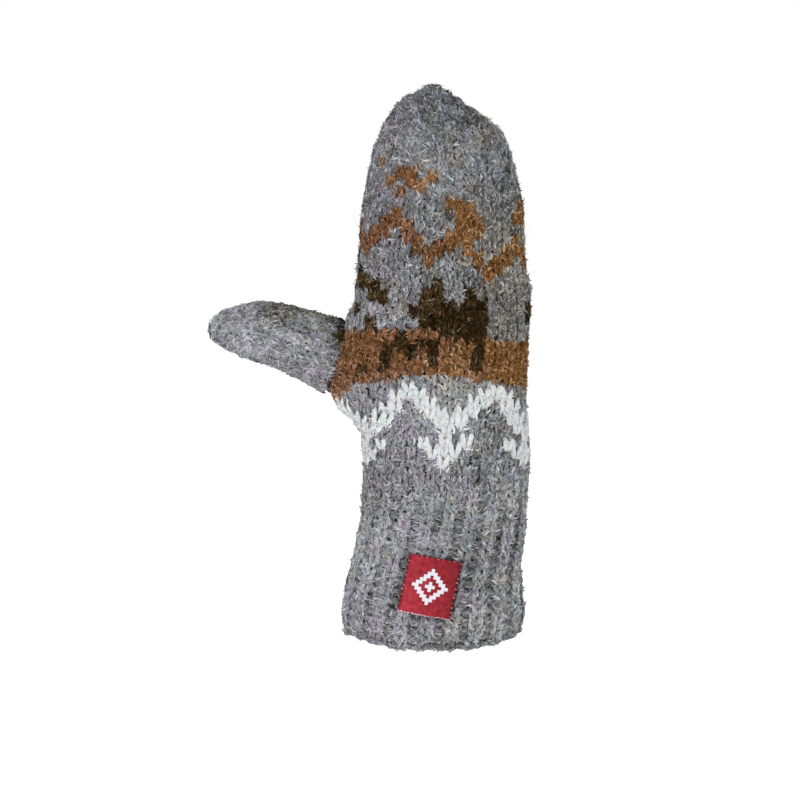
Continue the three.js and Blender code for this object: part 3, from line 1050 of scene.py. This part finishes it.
# Tree that sets one stitch on each point
def knitTree():
    nodes, given = geometryTree("knit", {"Shape": "Object", "Wool": "Material", "Patch Width": "Float",
                                         "Patch Length": "Float"})
    turn = nodes.add("FunctionNodeAxesToRotation", {"primary_axis": "Z", "secondary_axis": "Y"},
                     {0: nodes.attribute("out", "FLOAT_VECTOR"), 1: nodes.attribute("up", "FLOAT_VECTOR")})
    shape = nodes.add("GeometryNodeObjectInfo", {}, {"Object": given.out("Shape")}, "Geometry")
    copies = nodes.add("GeometryNodeInstanceOnPoints", {}, {
        "Points": given.out("Geometry"),
        "Instance": shape,
        "Rotation": turn,
        "Scale": nodes.attribute("size", "FLOAT_VECTOR"),
    })
    finishTree(nodes, given, copies)
    return nodes


knitNodes = knitTree()
woven = {}
pads = {}
for (node, yarn, part), columns in knits.items():
    shape = purlShape if part in ("furrows", "hem") else stitchShape
    obj = newObject(f"{node}_{yarn}_{part}", pointMesh("points", columns))
    pad = newObject("pad", obj.data.copy(), patterns)
    values = {"Wool": wools[yarn]["material"], "Patch Width": 0.05, "Patch Length": 0.16}
    runTree(obj, knitNodes, {"Shape": shape, **values})
    runTree(pad, knitNodes, {"Shape": padShape, **values})
    woven[(node, yarn, part)] = obj
    pads[(node, yarn, part)] = pad
print("knitted:", sum(len(obj.data.polygons) for obj in woven.values()), "faces")


# Walls: the frame's own shapes, with their outer skin drawn in so that the stitches stand at the frame's skin
walls = {
    "cuff": {"inset": 1.5 * mm},
    "hand": {"inset": 1.7 * mm},
    "thumb": {"inset": 1.7 * mm},
}
lining = {"grain": 900.0, "rows": 38.0, "waviness": 2.5, "relief": 0.8 * mm, "roughness": 0.95, "gloss": 0.15}
innerShades = [(0.25, (0.025, 0.025, 0.027)), (0.5, (0.12, 0.12, 0.13)), (0.8, (0.26, 0.26, 0.28))]
# The outer skin lies under the stitches and is nearly black: painted shade in the gaps between them
paintedShadeStops = [(0.3, (0.012, 0.010, 0.008)), (0.7, (0.06, 0.055, 0.05))]


def wallMaterial(name, stops):
    material, nodes = newMaterial(name)
    place = nodes.add("ShaderNodeTexCoord", {}, {}, "Object")
    grain = nodes.noise(place, lining["grain"], 3.0, 0.65)
    rows = nodes.add("ShaderNodeTexWave", {"wave_type": "BANDS", "bands_direction": "Z"}, {
        "Vector": place,
        "Scale": lining["rows"],
        "Distortion": lining["waviness"],
        "Detail": 2.0,
        "Detail Scale": 6.0,
    })
    relief = {"Strength": 0.8, "Distance": lining["relief"], "Height": rows + grain * 0.4}
    nodes.setSurface({
        "Base Color": nodes.add("ShaderNodeValToRGB", {"stops": stops}, {0: grain}),
        "Roughness": lining["roughness"],
        "Specular IOR Level": lining["gloss"],
        "Normal": nodes.add("ShaderNodeBump", {}, relief),
    })
    return material


innerWool = wallMaterial("innerWool", innerShades)
outerWool = wallMaterial("outerWool", paintedShadeStops)


def makeWall(name, look):
    mesh = bmesh.new()
    mesh.from_mesh(frame["nodes"][name].data)
    bmesh.ops.remove_doubles(mesh, verts=mesh.verts, dist=0.00001)
    tree = rayTree(name)
    moves = {}
    for vert in mesh.verts:
        vert.normal_update()
        start = vert.co + vert.normal * 0.4 * mm
        if tree.ray_cast(start, vert.normal)[0] is None:
            moves[vert] = vert.normal * -look["inset"]
    for vert, move in moves.items():
        vert.co += move
    for vert in mesh.verts:
        liftHem(vert.co)
    for face in mesh.faces:
        face.smooth = True
        # faces of the drawn-in outer skin take the dark wool of painted shade
        face.material_index = int(all(vert in moves for vert in face.verts))
    made = finishMesh(name + "_wall", mesh)
    made.materials.append(innerWool)
    made.materials.append(outerWool)
    wall = newObject(name + "_wall", made)
    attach(wall, "root")
    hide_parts(name)


for name, look in walls.items():
    makeWall(name, look)
print("walls made")


# Hairs: pointed slips of wool. Locks lie along the legs, felt lies over the stitches every way, fuzz stands
# off them, and stray hairs and curls, which alone are tubes with rings, wander over them. All is in mm.
hairShapes = {
    "lock": {"count": 10, "length": 3.4, "thick": 0.08, "bend": 0.5, "rise": 0.1, "dip": 0.12},
    "felt": {"count": 10, "length": 5.0, "thick": 0.07, "bend": 1.2, "rise": 0.1, "dip": 0.12},
    "fuzz": {"count": 8, "length": 3.8, "thick": 0.035, "bend": 1.2, "rise": 0.2, "dip": 0.1},
    "stray": {"count": 5, "length": 14.0, "thick": 0.06, "rings": 8, "bend": 3.4, "sways": (2.4, 3.4),
              "arch": 1.6},
    "curl": {"count": 8, "length": 3.0, "thick": 0.06, "rings": 14, "radius": 1.2, "turn": 7.0},
}


# Kinked lozenge of four faces: the cheapest closed shape with two pointed ends
def slipMesh(name, look):
    mesh = bmesh.new()
    lay = mesh.loops.layers.uv.new("lay")
    lean = mesh.verts.layers.float.new("lean")
    swing = draw.uniform(-1, 1, 2) * look["bend"]
    half = look["thick"]
    length = look["length"]
    ends = [Vector((side * swing[0], side * length / 2, -look["dip"])) for side in (-1, 1)]
    sides = [Vector((swing[1] + side * half, length * draw.uniform(-0.12, 0.12), look["rise"]))
             for side in (-1, 1)]
    verts = [mesh.verts.new(corner * mm) for corner in ends + sides]
    along = dict(zip(verts, (0.0, 1.0, 0.5, 0.5)))
    for vert in verts:
        vert[lean] = 0.0
    for corners in ((0, 2, 3), (1, 3, 2), (0, 1, 2), (1, 0, 3)):
        face = mesh.faces.new([verts[k] for k in corners])
        for loop in face.loops:
            loop[lay].uv = (0.5, along[loop.vert])
    return finishMesh(name, mesh, outwards=True)


# Centre of a long hair at a share of its length: a curl goes round, a stray hair swings
def hairCentre(look, t, phase):
    if "radius" in look:
        angle = look["turn"] * t * (0.45 + 0.07 * phase[0])
        radius = look["radius"] * (0.75 + 0.6 * math.sin(3.6 * t + phase[1]))
        rise = 0.25 + 0.35 * math.sin(math.pi * t)
        return Vector((radius * math.cos(angle), radius * math.sin(angle) + look["length"] * t, rise))
    swing = look["bend"] * t * np.sin(np.array(look["sways"]) * t + phase)
    rise = look["bend"] * (t - t * t) * look["arch"]
    return Vector((swing[0], t * look["length"], rise + swing[1] * 0.5))


def makeHairShapes(kind, look):
    group = bpy.data.collections.new(kind + "Shapes")
    patterns.children.link(group)
    for k in range(look["count"]):
        name = f"{kind}{k}"
        if "rings" not in look:
            newObject(name, slipMesh(name, look), group)
            continue
        last = look["rings"] + 1
        phase = draw.uniform(0, 2 * math.pi, 2)
        centres = [hairCentre(look, i / last, phase) * mm for i in range(last + 1)]
        thick = [look["thick"] * math.sin(math.pi * (0.15 + 0.7 * i / last)) * mm for i in range(last + 1)]
        newObject(name, tubeMesh(name, [(centres, thick, 0.0)], 3), group)
    return group


for kind, look in hairShapes.items():
    look["group"] = makeHairShapes(kind, look)


def hairTree():
    nodes, given = geometryTree("hairs", {
        "Shapes": "Collection", "Wool": "Material", "Label": "Object", "Seed": "Int", "Tint Spread": "Float",
        **dict.fromkeys(hairs["lock"], "Float"),
    })
    number = given.out("Seed")
    up = nodes.attribute("up", "FLOAT_VECTOR")
    out = nodes.attribute("out", "FLOAT_VECTOR")
    # Points on the outer faces, clear of the label
    points = nodes.add("GeometryNodeDistributePointsOnFaces", {"distribute_method": "RANDOM"}, {
        "Mesh": given.out("Geometry"),
        "Selection": nodes.add("GeometryNodeInputNormal").dot(out) > 0.1,
        "Density": given.out("Density"),
        "Seed": number,
    })
    surface = points.out("Normal")
    label = nodes.add("GeometryNodeObjectInfo", {}, {"Object": given.out("Label")}, "Geometry")
    near = nodes.add("GeometryNodeProximity", {"target_element": "FACES"}, {0: label}, "Distance")
    points = nodes.add("GeometryNodeDeleteGeometry", {"domain": "POINT"},
                       {"Geometry": points, "Selection": near < given.out("Clear")})
    # Each hair lies along its leg, strays from it, and lifts off the surface
    stray = nodes.add("FunctionNodeRandomValue", {"data_type": "FLOAT_VECTOR"},
                      {0: (-1.0, -1.0, -1.0), 1: (1.0, 1.0, 1.0), "Seed": number})
    side = up.apply("CROSS_PRODUCT", out)
    along = up + side * nodes.attribute("lean") + stray * given.out("Spread")
    lift = nodes.between(0.0, given.out("Lift"), number + 1)
    along = along - surface * along.dot(surface) + surface * lift
    turn = nodes.add("FunctionNodeAxesToRotation", {"primary_axis": "Y", "secondary_axis": "Z"},
                     {0: along, 1: surface})
    copies = nodes.add("GeometryNodeInstanceOnPoints", {}, {
        "Points": points,
        "Instance": nodes.add("GeometryNodeCollectionInfo", {}, {
            "Collection": given.out("Shapes"), "Separate Children": True, "Reset Children": True}),
        "Pick Instance": True,
        "Rotation": turn,
        "Scale": nodes.between(given.out("Shortest"), given.out("Longest"), number + 2),
    })
    # Its shade and tint wander from those of its stitch
    where = nodes.add("GeometryNodeInputPosition")
    spread = nodes.between(-1.0, 1.0, number + 3) * given.out("Shade Spread")
    mottle = (nodes.noise(where, 420.0, 1.0) - 0.5) * given.out("Mottle")
    # painted light and shade: a hair on a leg's crest is lighter, one down its sides in the gaps darker
    paintedRelief = (surface.dot(out) - 0.8) * given.out("Crest")
    shade = nodes.attribute("shade") + given.out("Shade Shift") + spread + mottle + paintedRelief
    patch = (nodes.noise(where, 260.0, 2.0, 0.6) - 0.5) * given.out("Tint Spread")
    tint = nodes.attribute("tint") + patch
    for name, value, least in (("shade", shade, 0.01), ("tint", tint, 0.02)):
        value = nodes.add("ShaderNodeClamp", {}, {0: value, 1: least, 2: 1 - least})
        copies = nodes.add("GeometryNodeStoreNamedAttribute", {"data_type": "FLOAT", "domain": "INSTANCE"},
                           {"Geometry": copies, "Name": name, "Value": value})
    finishTree(nodes, given, copies)
    return nodes


# Density counts hairs in a square metre, Clear keeps them off the label, and a patch is what a hair covers
# of the wool's map
# The relief setting paints locks lighter on a leg's crest and darker in the gaps, as light and shade
hairs = {
    "lock": {"Density": 1.5e6, "Spread": 0.26, "Lift": 0.05, "Shortest": 0.5, "Longest": 1.15,
             "Shade Shift": 0.03, "Shade Spread": 0.14, "Mottle": 0.18, "Crest": 0.55,
             "Clear": 1.1 * mm, "Patch Width": 0.006, "Patch Length": 0.05},
    "felt": {"Density": 1.3e6, "Spread": 1.3, "Lift": 0.06, "Shortest": 0.5, "Longest": 1.15,
             "Shade Shift": 0.05, "Shade Spread": 0.2, "Mottle": 0.3, "Crest": 0.0,
             "Clear": 1.1 * mm, "Patch Width": 0.006, "Patch Length": 0.05},
    "fuzz": {"Density": 1.15e6, "Spread": 1.0, "Lift": 1.0, "Shortest": 0.4, "Longest": 1.25,
             "Shade Shift": 0.24, "Shade Spread": 0.22, "Mottle": 0.2, "Crest": 0.0,
             "Clear": 3.0 * mm, "Patch Width": 0.004, "Patch Length": 0.05},
    "stray": {"Density": 0.004e6, "Spread": 1.1, "Lift": 0.1, "Shortest": 0.4, "Longest": 1.1,
              "Shade Shift": 0.3, "Shade Spread": 0.15, "Mottle": 0.0, "Crest": 0.0,
              "Clear": 6.0 * mm, "Patch Width": 0.004, "Patch Length": 0.1},
    "curl": {"Density": 0.002e6, "Spread": 3.0, "Lift": 0.3, "Shortest": 0.5, "Longest": 1.2,
             "Shade Shift": 0.0, "Shade Spread": 0.3, "Mottle": 0.0, "Crest": 0.0,
             "Clear": 6.0 * mm, "Patch Width": 0.01, "Patch Length": 0.2},
}
# How much more or less of a kind of hair each part has
coats = {
    "ribs": {"lock": 1.25, "felt": 0.4},
    "furrows": {"lock": 0.5, "felt": 0.25, "fuzz": 0.4},
    "hem": {"felt": 1.2},
    "back": {"felt": 0.2},
    "palm": {"felt": 0.2, "lock": 0.9, "fuzz": 0.7},
    "tip": {"felt": 0.8, "lock": 0.9, "stray": 0.3},
    "tube": {"lock": 1.0, "felt": 0.8},
}
curls = {"brown": 9.0, "rust": 4.0, "white": 0.0}  # how many more curls a yarn has
tintSpread = 0.6  # how far the hue of the hairs wanders within a few millimetres
seed = 20
hairNodes = hairTree()


def makeHairs(key, kind):
    node, yarn, part = key
    source = pads[key] if kind in ("felt", "curl") else woven[key]
    coat = newObject(f"{node}_{yarn}_{part}_{kind}", source.data.copy())
    wool = wools["curl" if kind == "curl" else yarn]
    values = {"Shapes": hairShapes[kind]["group"], "Wool": wool["material"], "Label": frame["nodes"]["label"],
              "Seed": seed, "Tint Spread": tintSpread, **hairs[kind]}
    values["Longest"] *= wool.get("reach", 1.0)
    values["Density"] *= wool.get("cover", 1.0)
    values["Density"] *= curls.get(yarn, 1.0) if kind == "curl" else coats[part].get(kind, 1.0)
    for name in ("Shade Spread", "Mottle", "Crest"):
        values[name] *= wool.get("contrast", 1.0)
    runTree(coat, hairNodes, values)
    return coat


worked = ["up", "out", "size", "shade", "tint", "lean", "lay", "id"]  # attributes that only the trees read


def finishWool(obj, node):
    for name in worked:
        found = obj.data.attributes.get(name)
        if found is not None:
            obj.data.attributes.remove(found)
    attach(obj, "root")
    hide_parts(node)


total = 0
for key, obj in woven.items():
    node, yarn, _ = key
    for kind in hairs:
        seed += 10
        coat = makeHairs(key, kind)
        if not coat.data.polygons:
            bpy.data.objects.remove(coat)
            continue
        finishWool(coat, node)
        print(coat.name, len(coat.data.polygons))
        total += len(coat.data.polygons)
    finishWool(obj, node)
    total += sum(len(p.vertices) - 2 for p in obj.data.polygons)
print("hairs laid, triangles of wool:", total)


# Label: a red ribbon laid on the frame's patch, with folded ends, edges that its sewing pulls in, and a
# plain stepped diamond woven in white. Its map OFBake runs across and up the ribbon.
label = {
    "cells": (56, 60),
    "thick": 0.85 * mm,
    "round": 0.5 * mm,  # rounding of its edges
    "ends": 3.0 * mm,  # the ends are folded under this far
    "endRise": 0.2 * mm,
    "endSoft": 0.4 * mm,
    "pull": 0.3 * mm,  # how far the sewing pulls its edges in
    "pullFades": 1.1 * mm,
    "dent": 0.14 * mm,  # and how far back
    "dentFades": 1.6 * mm,
    "sewing": 2.4 * mm,  # from one sewing stitch to the next
    "waves": (520, 410),  # slight unevenness across and up, in radians per metre
    "waveHeight": 0.1,  # in mm
    "reds": [(0.0, (0.035, 0.001, 0.002)), (0.5, (0.225, 0.006, 0.013)), (1.0, (0.5, 0.05, 0.08))],
    "white": (0.56, 0.58, 0.63),
    "twill": 1.15,  # mm from one slanting line of the weave to the next
    "step": 1.5,  # mm, of the diamond
}
# Which of its reds the ribbon has: at its lower left corner, and how far the weave takes it from there
ribbonShade = {
    "start": 0.66,
    "clouds": 0.6,
    "grain": 0.7,
    "ridges": 0.17,
    "across": 0.011,  # darker by this for each mm to the right
    "up": 0.004,  # and upwards
    "edge": 1.5,  # mm of dark edge on the left and right, painted shade of the notches that its sewing pulls in
    # how strongly those notches get painted shade
    "notchShadeContrast": 4.5,
}


def readLabel():
    mesh = frame["nodes"]["label"].data
    flat = np.array([(v.co.x, v.co.z) for v in mesh.vertices])
    total = flat.sum(1)
    slant = flat[:, 0] - flat[:, 1]
    corners = [flat[total.argmin()], flat[slant.argmax()], flat[slant.argmin()], flat[total.argmax()]]
    return rayTree("label"), corners


labelTree, labelCorners = readLabel()
labelMiddle = sum(labelCorners) / 4
labelWide = float(np.linalg.norm(labelCorners[1] - labelCorners[0]))
labelTall = float(np.linalg.norm(labelCorners[2] - labelCorners[0]))


# Place on the ribbon's front, and the way out of it, by shares of its width and height
def labelPlace(across, up):
    low = labelCorners[0] * (1 - across) + labelCorners[1] * across
    high = labelCorners[2] * (1 - across) + labelCorners[3] * across
    x, z = low * (1 - up) + high * up
    inX, inZ = np.array((x, z)) + (labelMiddle - (x, z)) * 0.03  # a ray at the very edge could miss
    hit = labelTree.ray_cast(Vector((inX, -60 * mm, inZ)), Vector((0, 1, 0)))
    return Vector((x, hit[0].y, z)), hit[1]


def labelMaterial():
    material, nodes = newMaterial("labelWeave")
    place = nodes.add("ShaderNodeSeparateXYZ", {}, {0: nodes.add("ShaderNodeUVMap", {"uv_map": "OFBake"})})
    wide, tall = labelWide / mm, labelTall / mm
    across = place * wide
    up = place.out("Y") * tall
    flat = nodes.add("ShaderNodeCombineXYZ", {}, {0: across, 1: up})
    twill = ((across + up) * (2 * math.pi / label["twill"])).apply("SINE")
    soft = nodes.noise(flat, 0.5, 2.0, dimensions="2D")
    fine = nodes.noise(flat, 2.2, 1.0, dimensions="2D")
    fromSide = across.apply("MINIMUM", wide - across)
    look = ribbonShade
    # painted shade along the left and right edges, uneven along them, for the notches of the sewing
    edge = (1.0 - fromSide / look["edge"]).apply("MAXIMUM", 0.0)
    notchShade = edge * ((fine - 0.32) * look["notchShadeContrast"]).apply("MAXIMUM", 0.1)
    shade = look["start"] + (soft - 0.5) * look["clouds"] + (fine - 0.5) * look["grain"]
    shade = shade + twill * look["ridges"] - across * look["across"] - up * look["up"] - notchShade
    red = nodes.add("ShaderNodeValToRGB", {"stops": label["reds"]}, {0: shade})
    steps = [((part - size / 2) / label["step"]).apply("ROUND").apply("ABSOLUTE")
             for part, size in ((across, wide), (up, tall))]
    count = steps[0] + steps[1]
    diamond = ((count > 3.5) * (count < 5.5)).apply("MAXIMUM", count < 1.5)
    colour = nodes.mixColours(diamond * (0.93 + twill * 0.05), red, (*label["white"], 1.0))
    weave = twill * 0.8 + fine + diamond * 0.6
    bump = nodes.add("ShaderNodeBump", {}, {"Strength": 0.5, "Distance": 0.12 * mm, "Height": weave})
    nodes.setSurface({
        "Base Color": colour,
        "Roughness": 0.66,
        "Specular IOR Level": 0.16,
        "Sheen Weight": 0.04,
        "Normal": bump,
    })
    return material


def ribbonPlace(across, up):
    place, out = labelPlace(across, up)
    right, rise = across * labelWide, up * labelTall
    fromSide = min(right, labelWide - right)
    fromEnd = min(rise, labelTall - rise)
    fromEdge = min(fromSide, fromEnd)
    along = rise if fromSide < fromEnd else right
    notch = 0.5 + 0.5 * math.cos(2 * math.pi * along / label["sewing"])
    inward = Vector((labelMiddle[0] - place.x, 0, labelMiddle[1] - place.z)).normalized()
    place = place + inward * label["pull"] * notch * math.exp(-fromEdge / label["pullFades"])
    short = min(max(0.0, label["round"] - fromEdge), label["round"])
    drop = label["round"] - math.sqrt(label["round"] ** 2 - short ** 2)
    past = blend(fromEnd, label["ends"] - label["endSoft"], label["ends"] + label["endSoft"])
    folded = label["endRise"] * (1 - past)
    sideways, upwards = label["waves"]
    wave = math.sin(right * sideways + 1.0) * math.sin(rise * upwards + 0.5) * label["waveHeight"] * mm
    dent = notch * label["dent"] * math.exp(-fromEdge / label["dentFades"])
    return place + out * (folded + wave - dent - drop), out


def makeLabel():
    columns, rows = label["cells"]
    mesh = bmesh.new()
    bake = mesh.loops.layers.uv.new("OFBake")
    front = []
    back = []
    where = {}
    for j in range(rows + 1):
        for i in range(columns + 1):
            across, up = i / columns, j / rows
            place, out = ribbonPlace(across, up)
            front.append(mesh.verts.new(place))
            back.append(mesh.verts.new(labelPlace(across, up)[0] - out * label["thick"]))
            where[front[-1]] = where[back[-1]] = (across, up)
    wide = columns + 1
    faces = []
    for j in range(rows):
        for i in range(columns):
            k = j * wide + i
            corners = (k, k + 1, k + 1 + wide, k + wide)
            faces.append([front[c] for c in corners])
            faces.append([back[c] for c in reversed(corners)])
    rim = [j * wide for j in range(rows, 0, -1)] + list(range(columns))
    rim += [j * wide + columns for j in range(rows)] + [rows * wide + i for i in range(columns, 0, -1)]
    for a, b in zip(rim, rim[1:] + rim[:1]):
        faces.append([front[b], front[a], back[a], back[b]])
    for corners in faces:
        face = mesh.faces.new(corners)
        face.smooth = True
        for loop in face.loops:
            loop[bake].uv = where[loop.vert]
    made = finishMesh("label_ribbon", mesh, outwards=True)
    ribbon = newObject("label_ribbon", made)
    made.materials.append(labelMaterial())
    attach(ribbon, "root")
    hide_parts("label")


sewing = {
    "thick": 0.19 * mm,
    "reach": 0.85 * mm,  # half a stitch
    "sides": {"step": 2.1 * mm, "length": 0.65, "inside": 0.55 * mm, "slant": 1.1, "shades": (0.0, 0.7)},
    "bottom": {"step": 1.5 * mm, "length": 1.1, "inside": 0.12 * mm, "slant": 0.1, "shades": (0.4, 1.0)},
    "top": {"step": 2.4 * mm, "length": 0.5, "inside": 0.35 * mm, "slant": 0.9, "shades": (0.0, 0.45)},
}


def makeThreadShape():
    steps = [-1, -0.5, 0, 0.5, 1]
    centres = [Vector((step * sewing["reach"], 0, (0.16 - 0.5 * step ** 4) * mm)) for step in steps]
    thick = [sewing["thick"] * (1 if abs(step) < 1 else 0) for step in steps]
    return newObject("threadShape", tubeMesh("threadShape", [(centres, thick, 0.0)], 5), patterns)


# Sewing stitches round the ribbon: slanting over its sides, end to end along the bottom, small along the top
def makeSewing():
    columns = newCloud()
    edges = (
        ("sides", labelTall, lambda t, gap: (gap / labelWide, t), (0, 1)),
        ("sides", labelTall, lambda t, gap: (1 - gap / labelWide, t), (0, 1)),
        ("bottom", labelWide, lambda t, gap: (t, gap / labelTall), (1, 0)),
        ("top", labelWide, lambda t, gap: (t, 1 - gap / labelTall), (1, 0)),
    )
    for name, length, at, (right, rise) in edges:
        look = sewing[name]
        count = int(length / look["step"])
        for k in range(count):
            t = (k + 0.5 + draw.normal(0, 0.1)) / count
            across, up = at(t, look["inside"] + draw.normal(0, 0.08) * mm)
            place, out = ribbonPlace(across, up)
            ahead = labelPlace(across + right * 0.02, up + rise * 0.02)[0] - labelPlace(across, up)[0]
            ahead = unit(np.array(ahead))
            out = np.array(out)
            aside = np.cross(out, ahead)
            slant = look["slant"] + draw.normal(0, 0.25)
            columns["place"].append(np.array(place) + out * 0.12 * mm)
            columns["up"].append(unit(aside * math.cos(slant) - ahead * math.sin(slant)))
            columns["out"].append(out)
            columns["size"].append((look["length"] * draw.uniform(0.6, 1.3), 1.0, 1.0))
            columns["shade"].append(draw.uniform(*look["shades"]))
            columns["tint"].append(draw.uniform(0.1, 0.9))
    obj = newObject("label_sewing", pointMesh("points", columns))
    runTree(obj, knitNodes, {
        "Shape": makeThreadShape(),
        "Wool": wools["thread"]["material"],
        "Patch Width": 0.05,
        "Patch Length": 0.1,
    })
    finishWool(obj, "label")


makeSewing()
makeLabel()
print("label made")

for shape in list(patterns.all_objects):
    bpy.data.objects.remove(shape)
for group in list(patterns.children):
    bpy.data.collections.remove(group)
bpy.data.collections.remove(patterns)


# Stage, lights and camera
camera = {"place": (-0.0158, -0.8704, 0.2363), "tilt": 82.0, "lens": 85.0}
studio = {
    "floor": -0.16,
    "floorHalf": 4.0,
    "aim": (0, 0, 0.13),
    "pale": (0.92, 0.92, 0.92),
    "glow": 0.25,
    "world": 1.0,
    "lamps": [
        {"name": "key", "from": (-0.75, -1.1, 0.15), "size": 0.8, "power": 9.0},
        {"name": "fill", "from": (0.9, -0.8, 0.4), "size": 0.9, "power": 2.0},
        {"name": "back", "from": (0.3, 1.0, 0.8), "size": 0.9, "power": 4.0},
    ],
}


def makeStage():
    floor = bpy.data.meshes.new("floor")
    half = studio["floorHalf"]
    floor.from_pydata([(x * half, y * half, studio["floor"]) for x, y in square], [], [(0, 1, 2, 3)])
    material, nodes = newMaterial("paleFloor")
    nodes.setSurface({
        "Base Color": (*studio["pale"], 1.0),
        "Roughness": 0.9,
        "Emission Color": (1.0, 1.0, 1.0, 1.0),
        "Emission Strength": studio["glow"],
    })
    floor.materials.append(material)
    newObject("floor", floor)
    world = bpy.data.worlds.new("studio")
    world.use_nodes = True
    world.node_tree.nodes.clear()
    sky = Nodes(world.node_tree)
    light = sky.add("ShaderNodeBackground", {}, {"Color": (1.0, 1.0, 1.0, 1.0), "Strength": studio["world"]})
    sky.add("ShaderNodeOutputWorld", {}, {"Surface": light})
    bpy.context.scene.world = world
    for lamp in studio["lamps"]:
        light = bpy.data.lights.new(lamp["name"], "AREA")
        light.size = lamp["size"]
        light.energy = lamp["power"]
        obj = newObject(lamp["name"], light)
        obj.location = lamp["from"]
        aim = Vector(studio["aim"]) - obj.location
        obj.rotation_euler = aim.to_track_quat("-Z", "Y").to_euler()


def makeCamera():
    data = bpy.data.cameras.new("camera")
    data.lens = camera["lens"]
    data.sensor_width = 36.0
    obj = newObject("camera", data)
    obj.location = camera["place"]
    obj.rotation_euler = (math.radians(camera["tilt"]), 0, 0)
    bpy.context.scene.camera = obj


makeStage()
makeCamera()
bpy.context.scene.view_settings.view_transform = "Standard"
print("stage, lights and camera set")
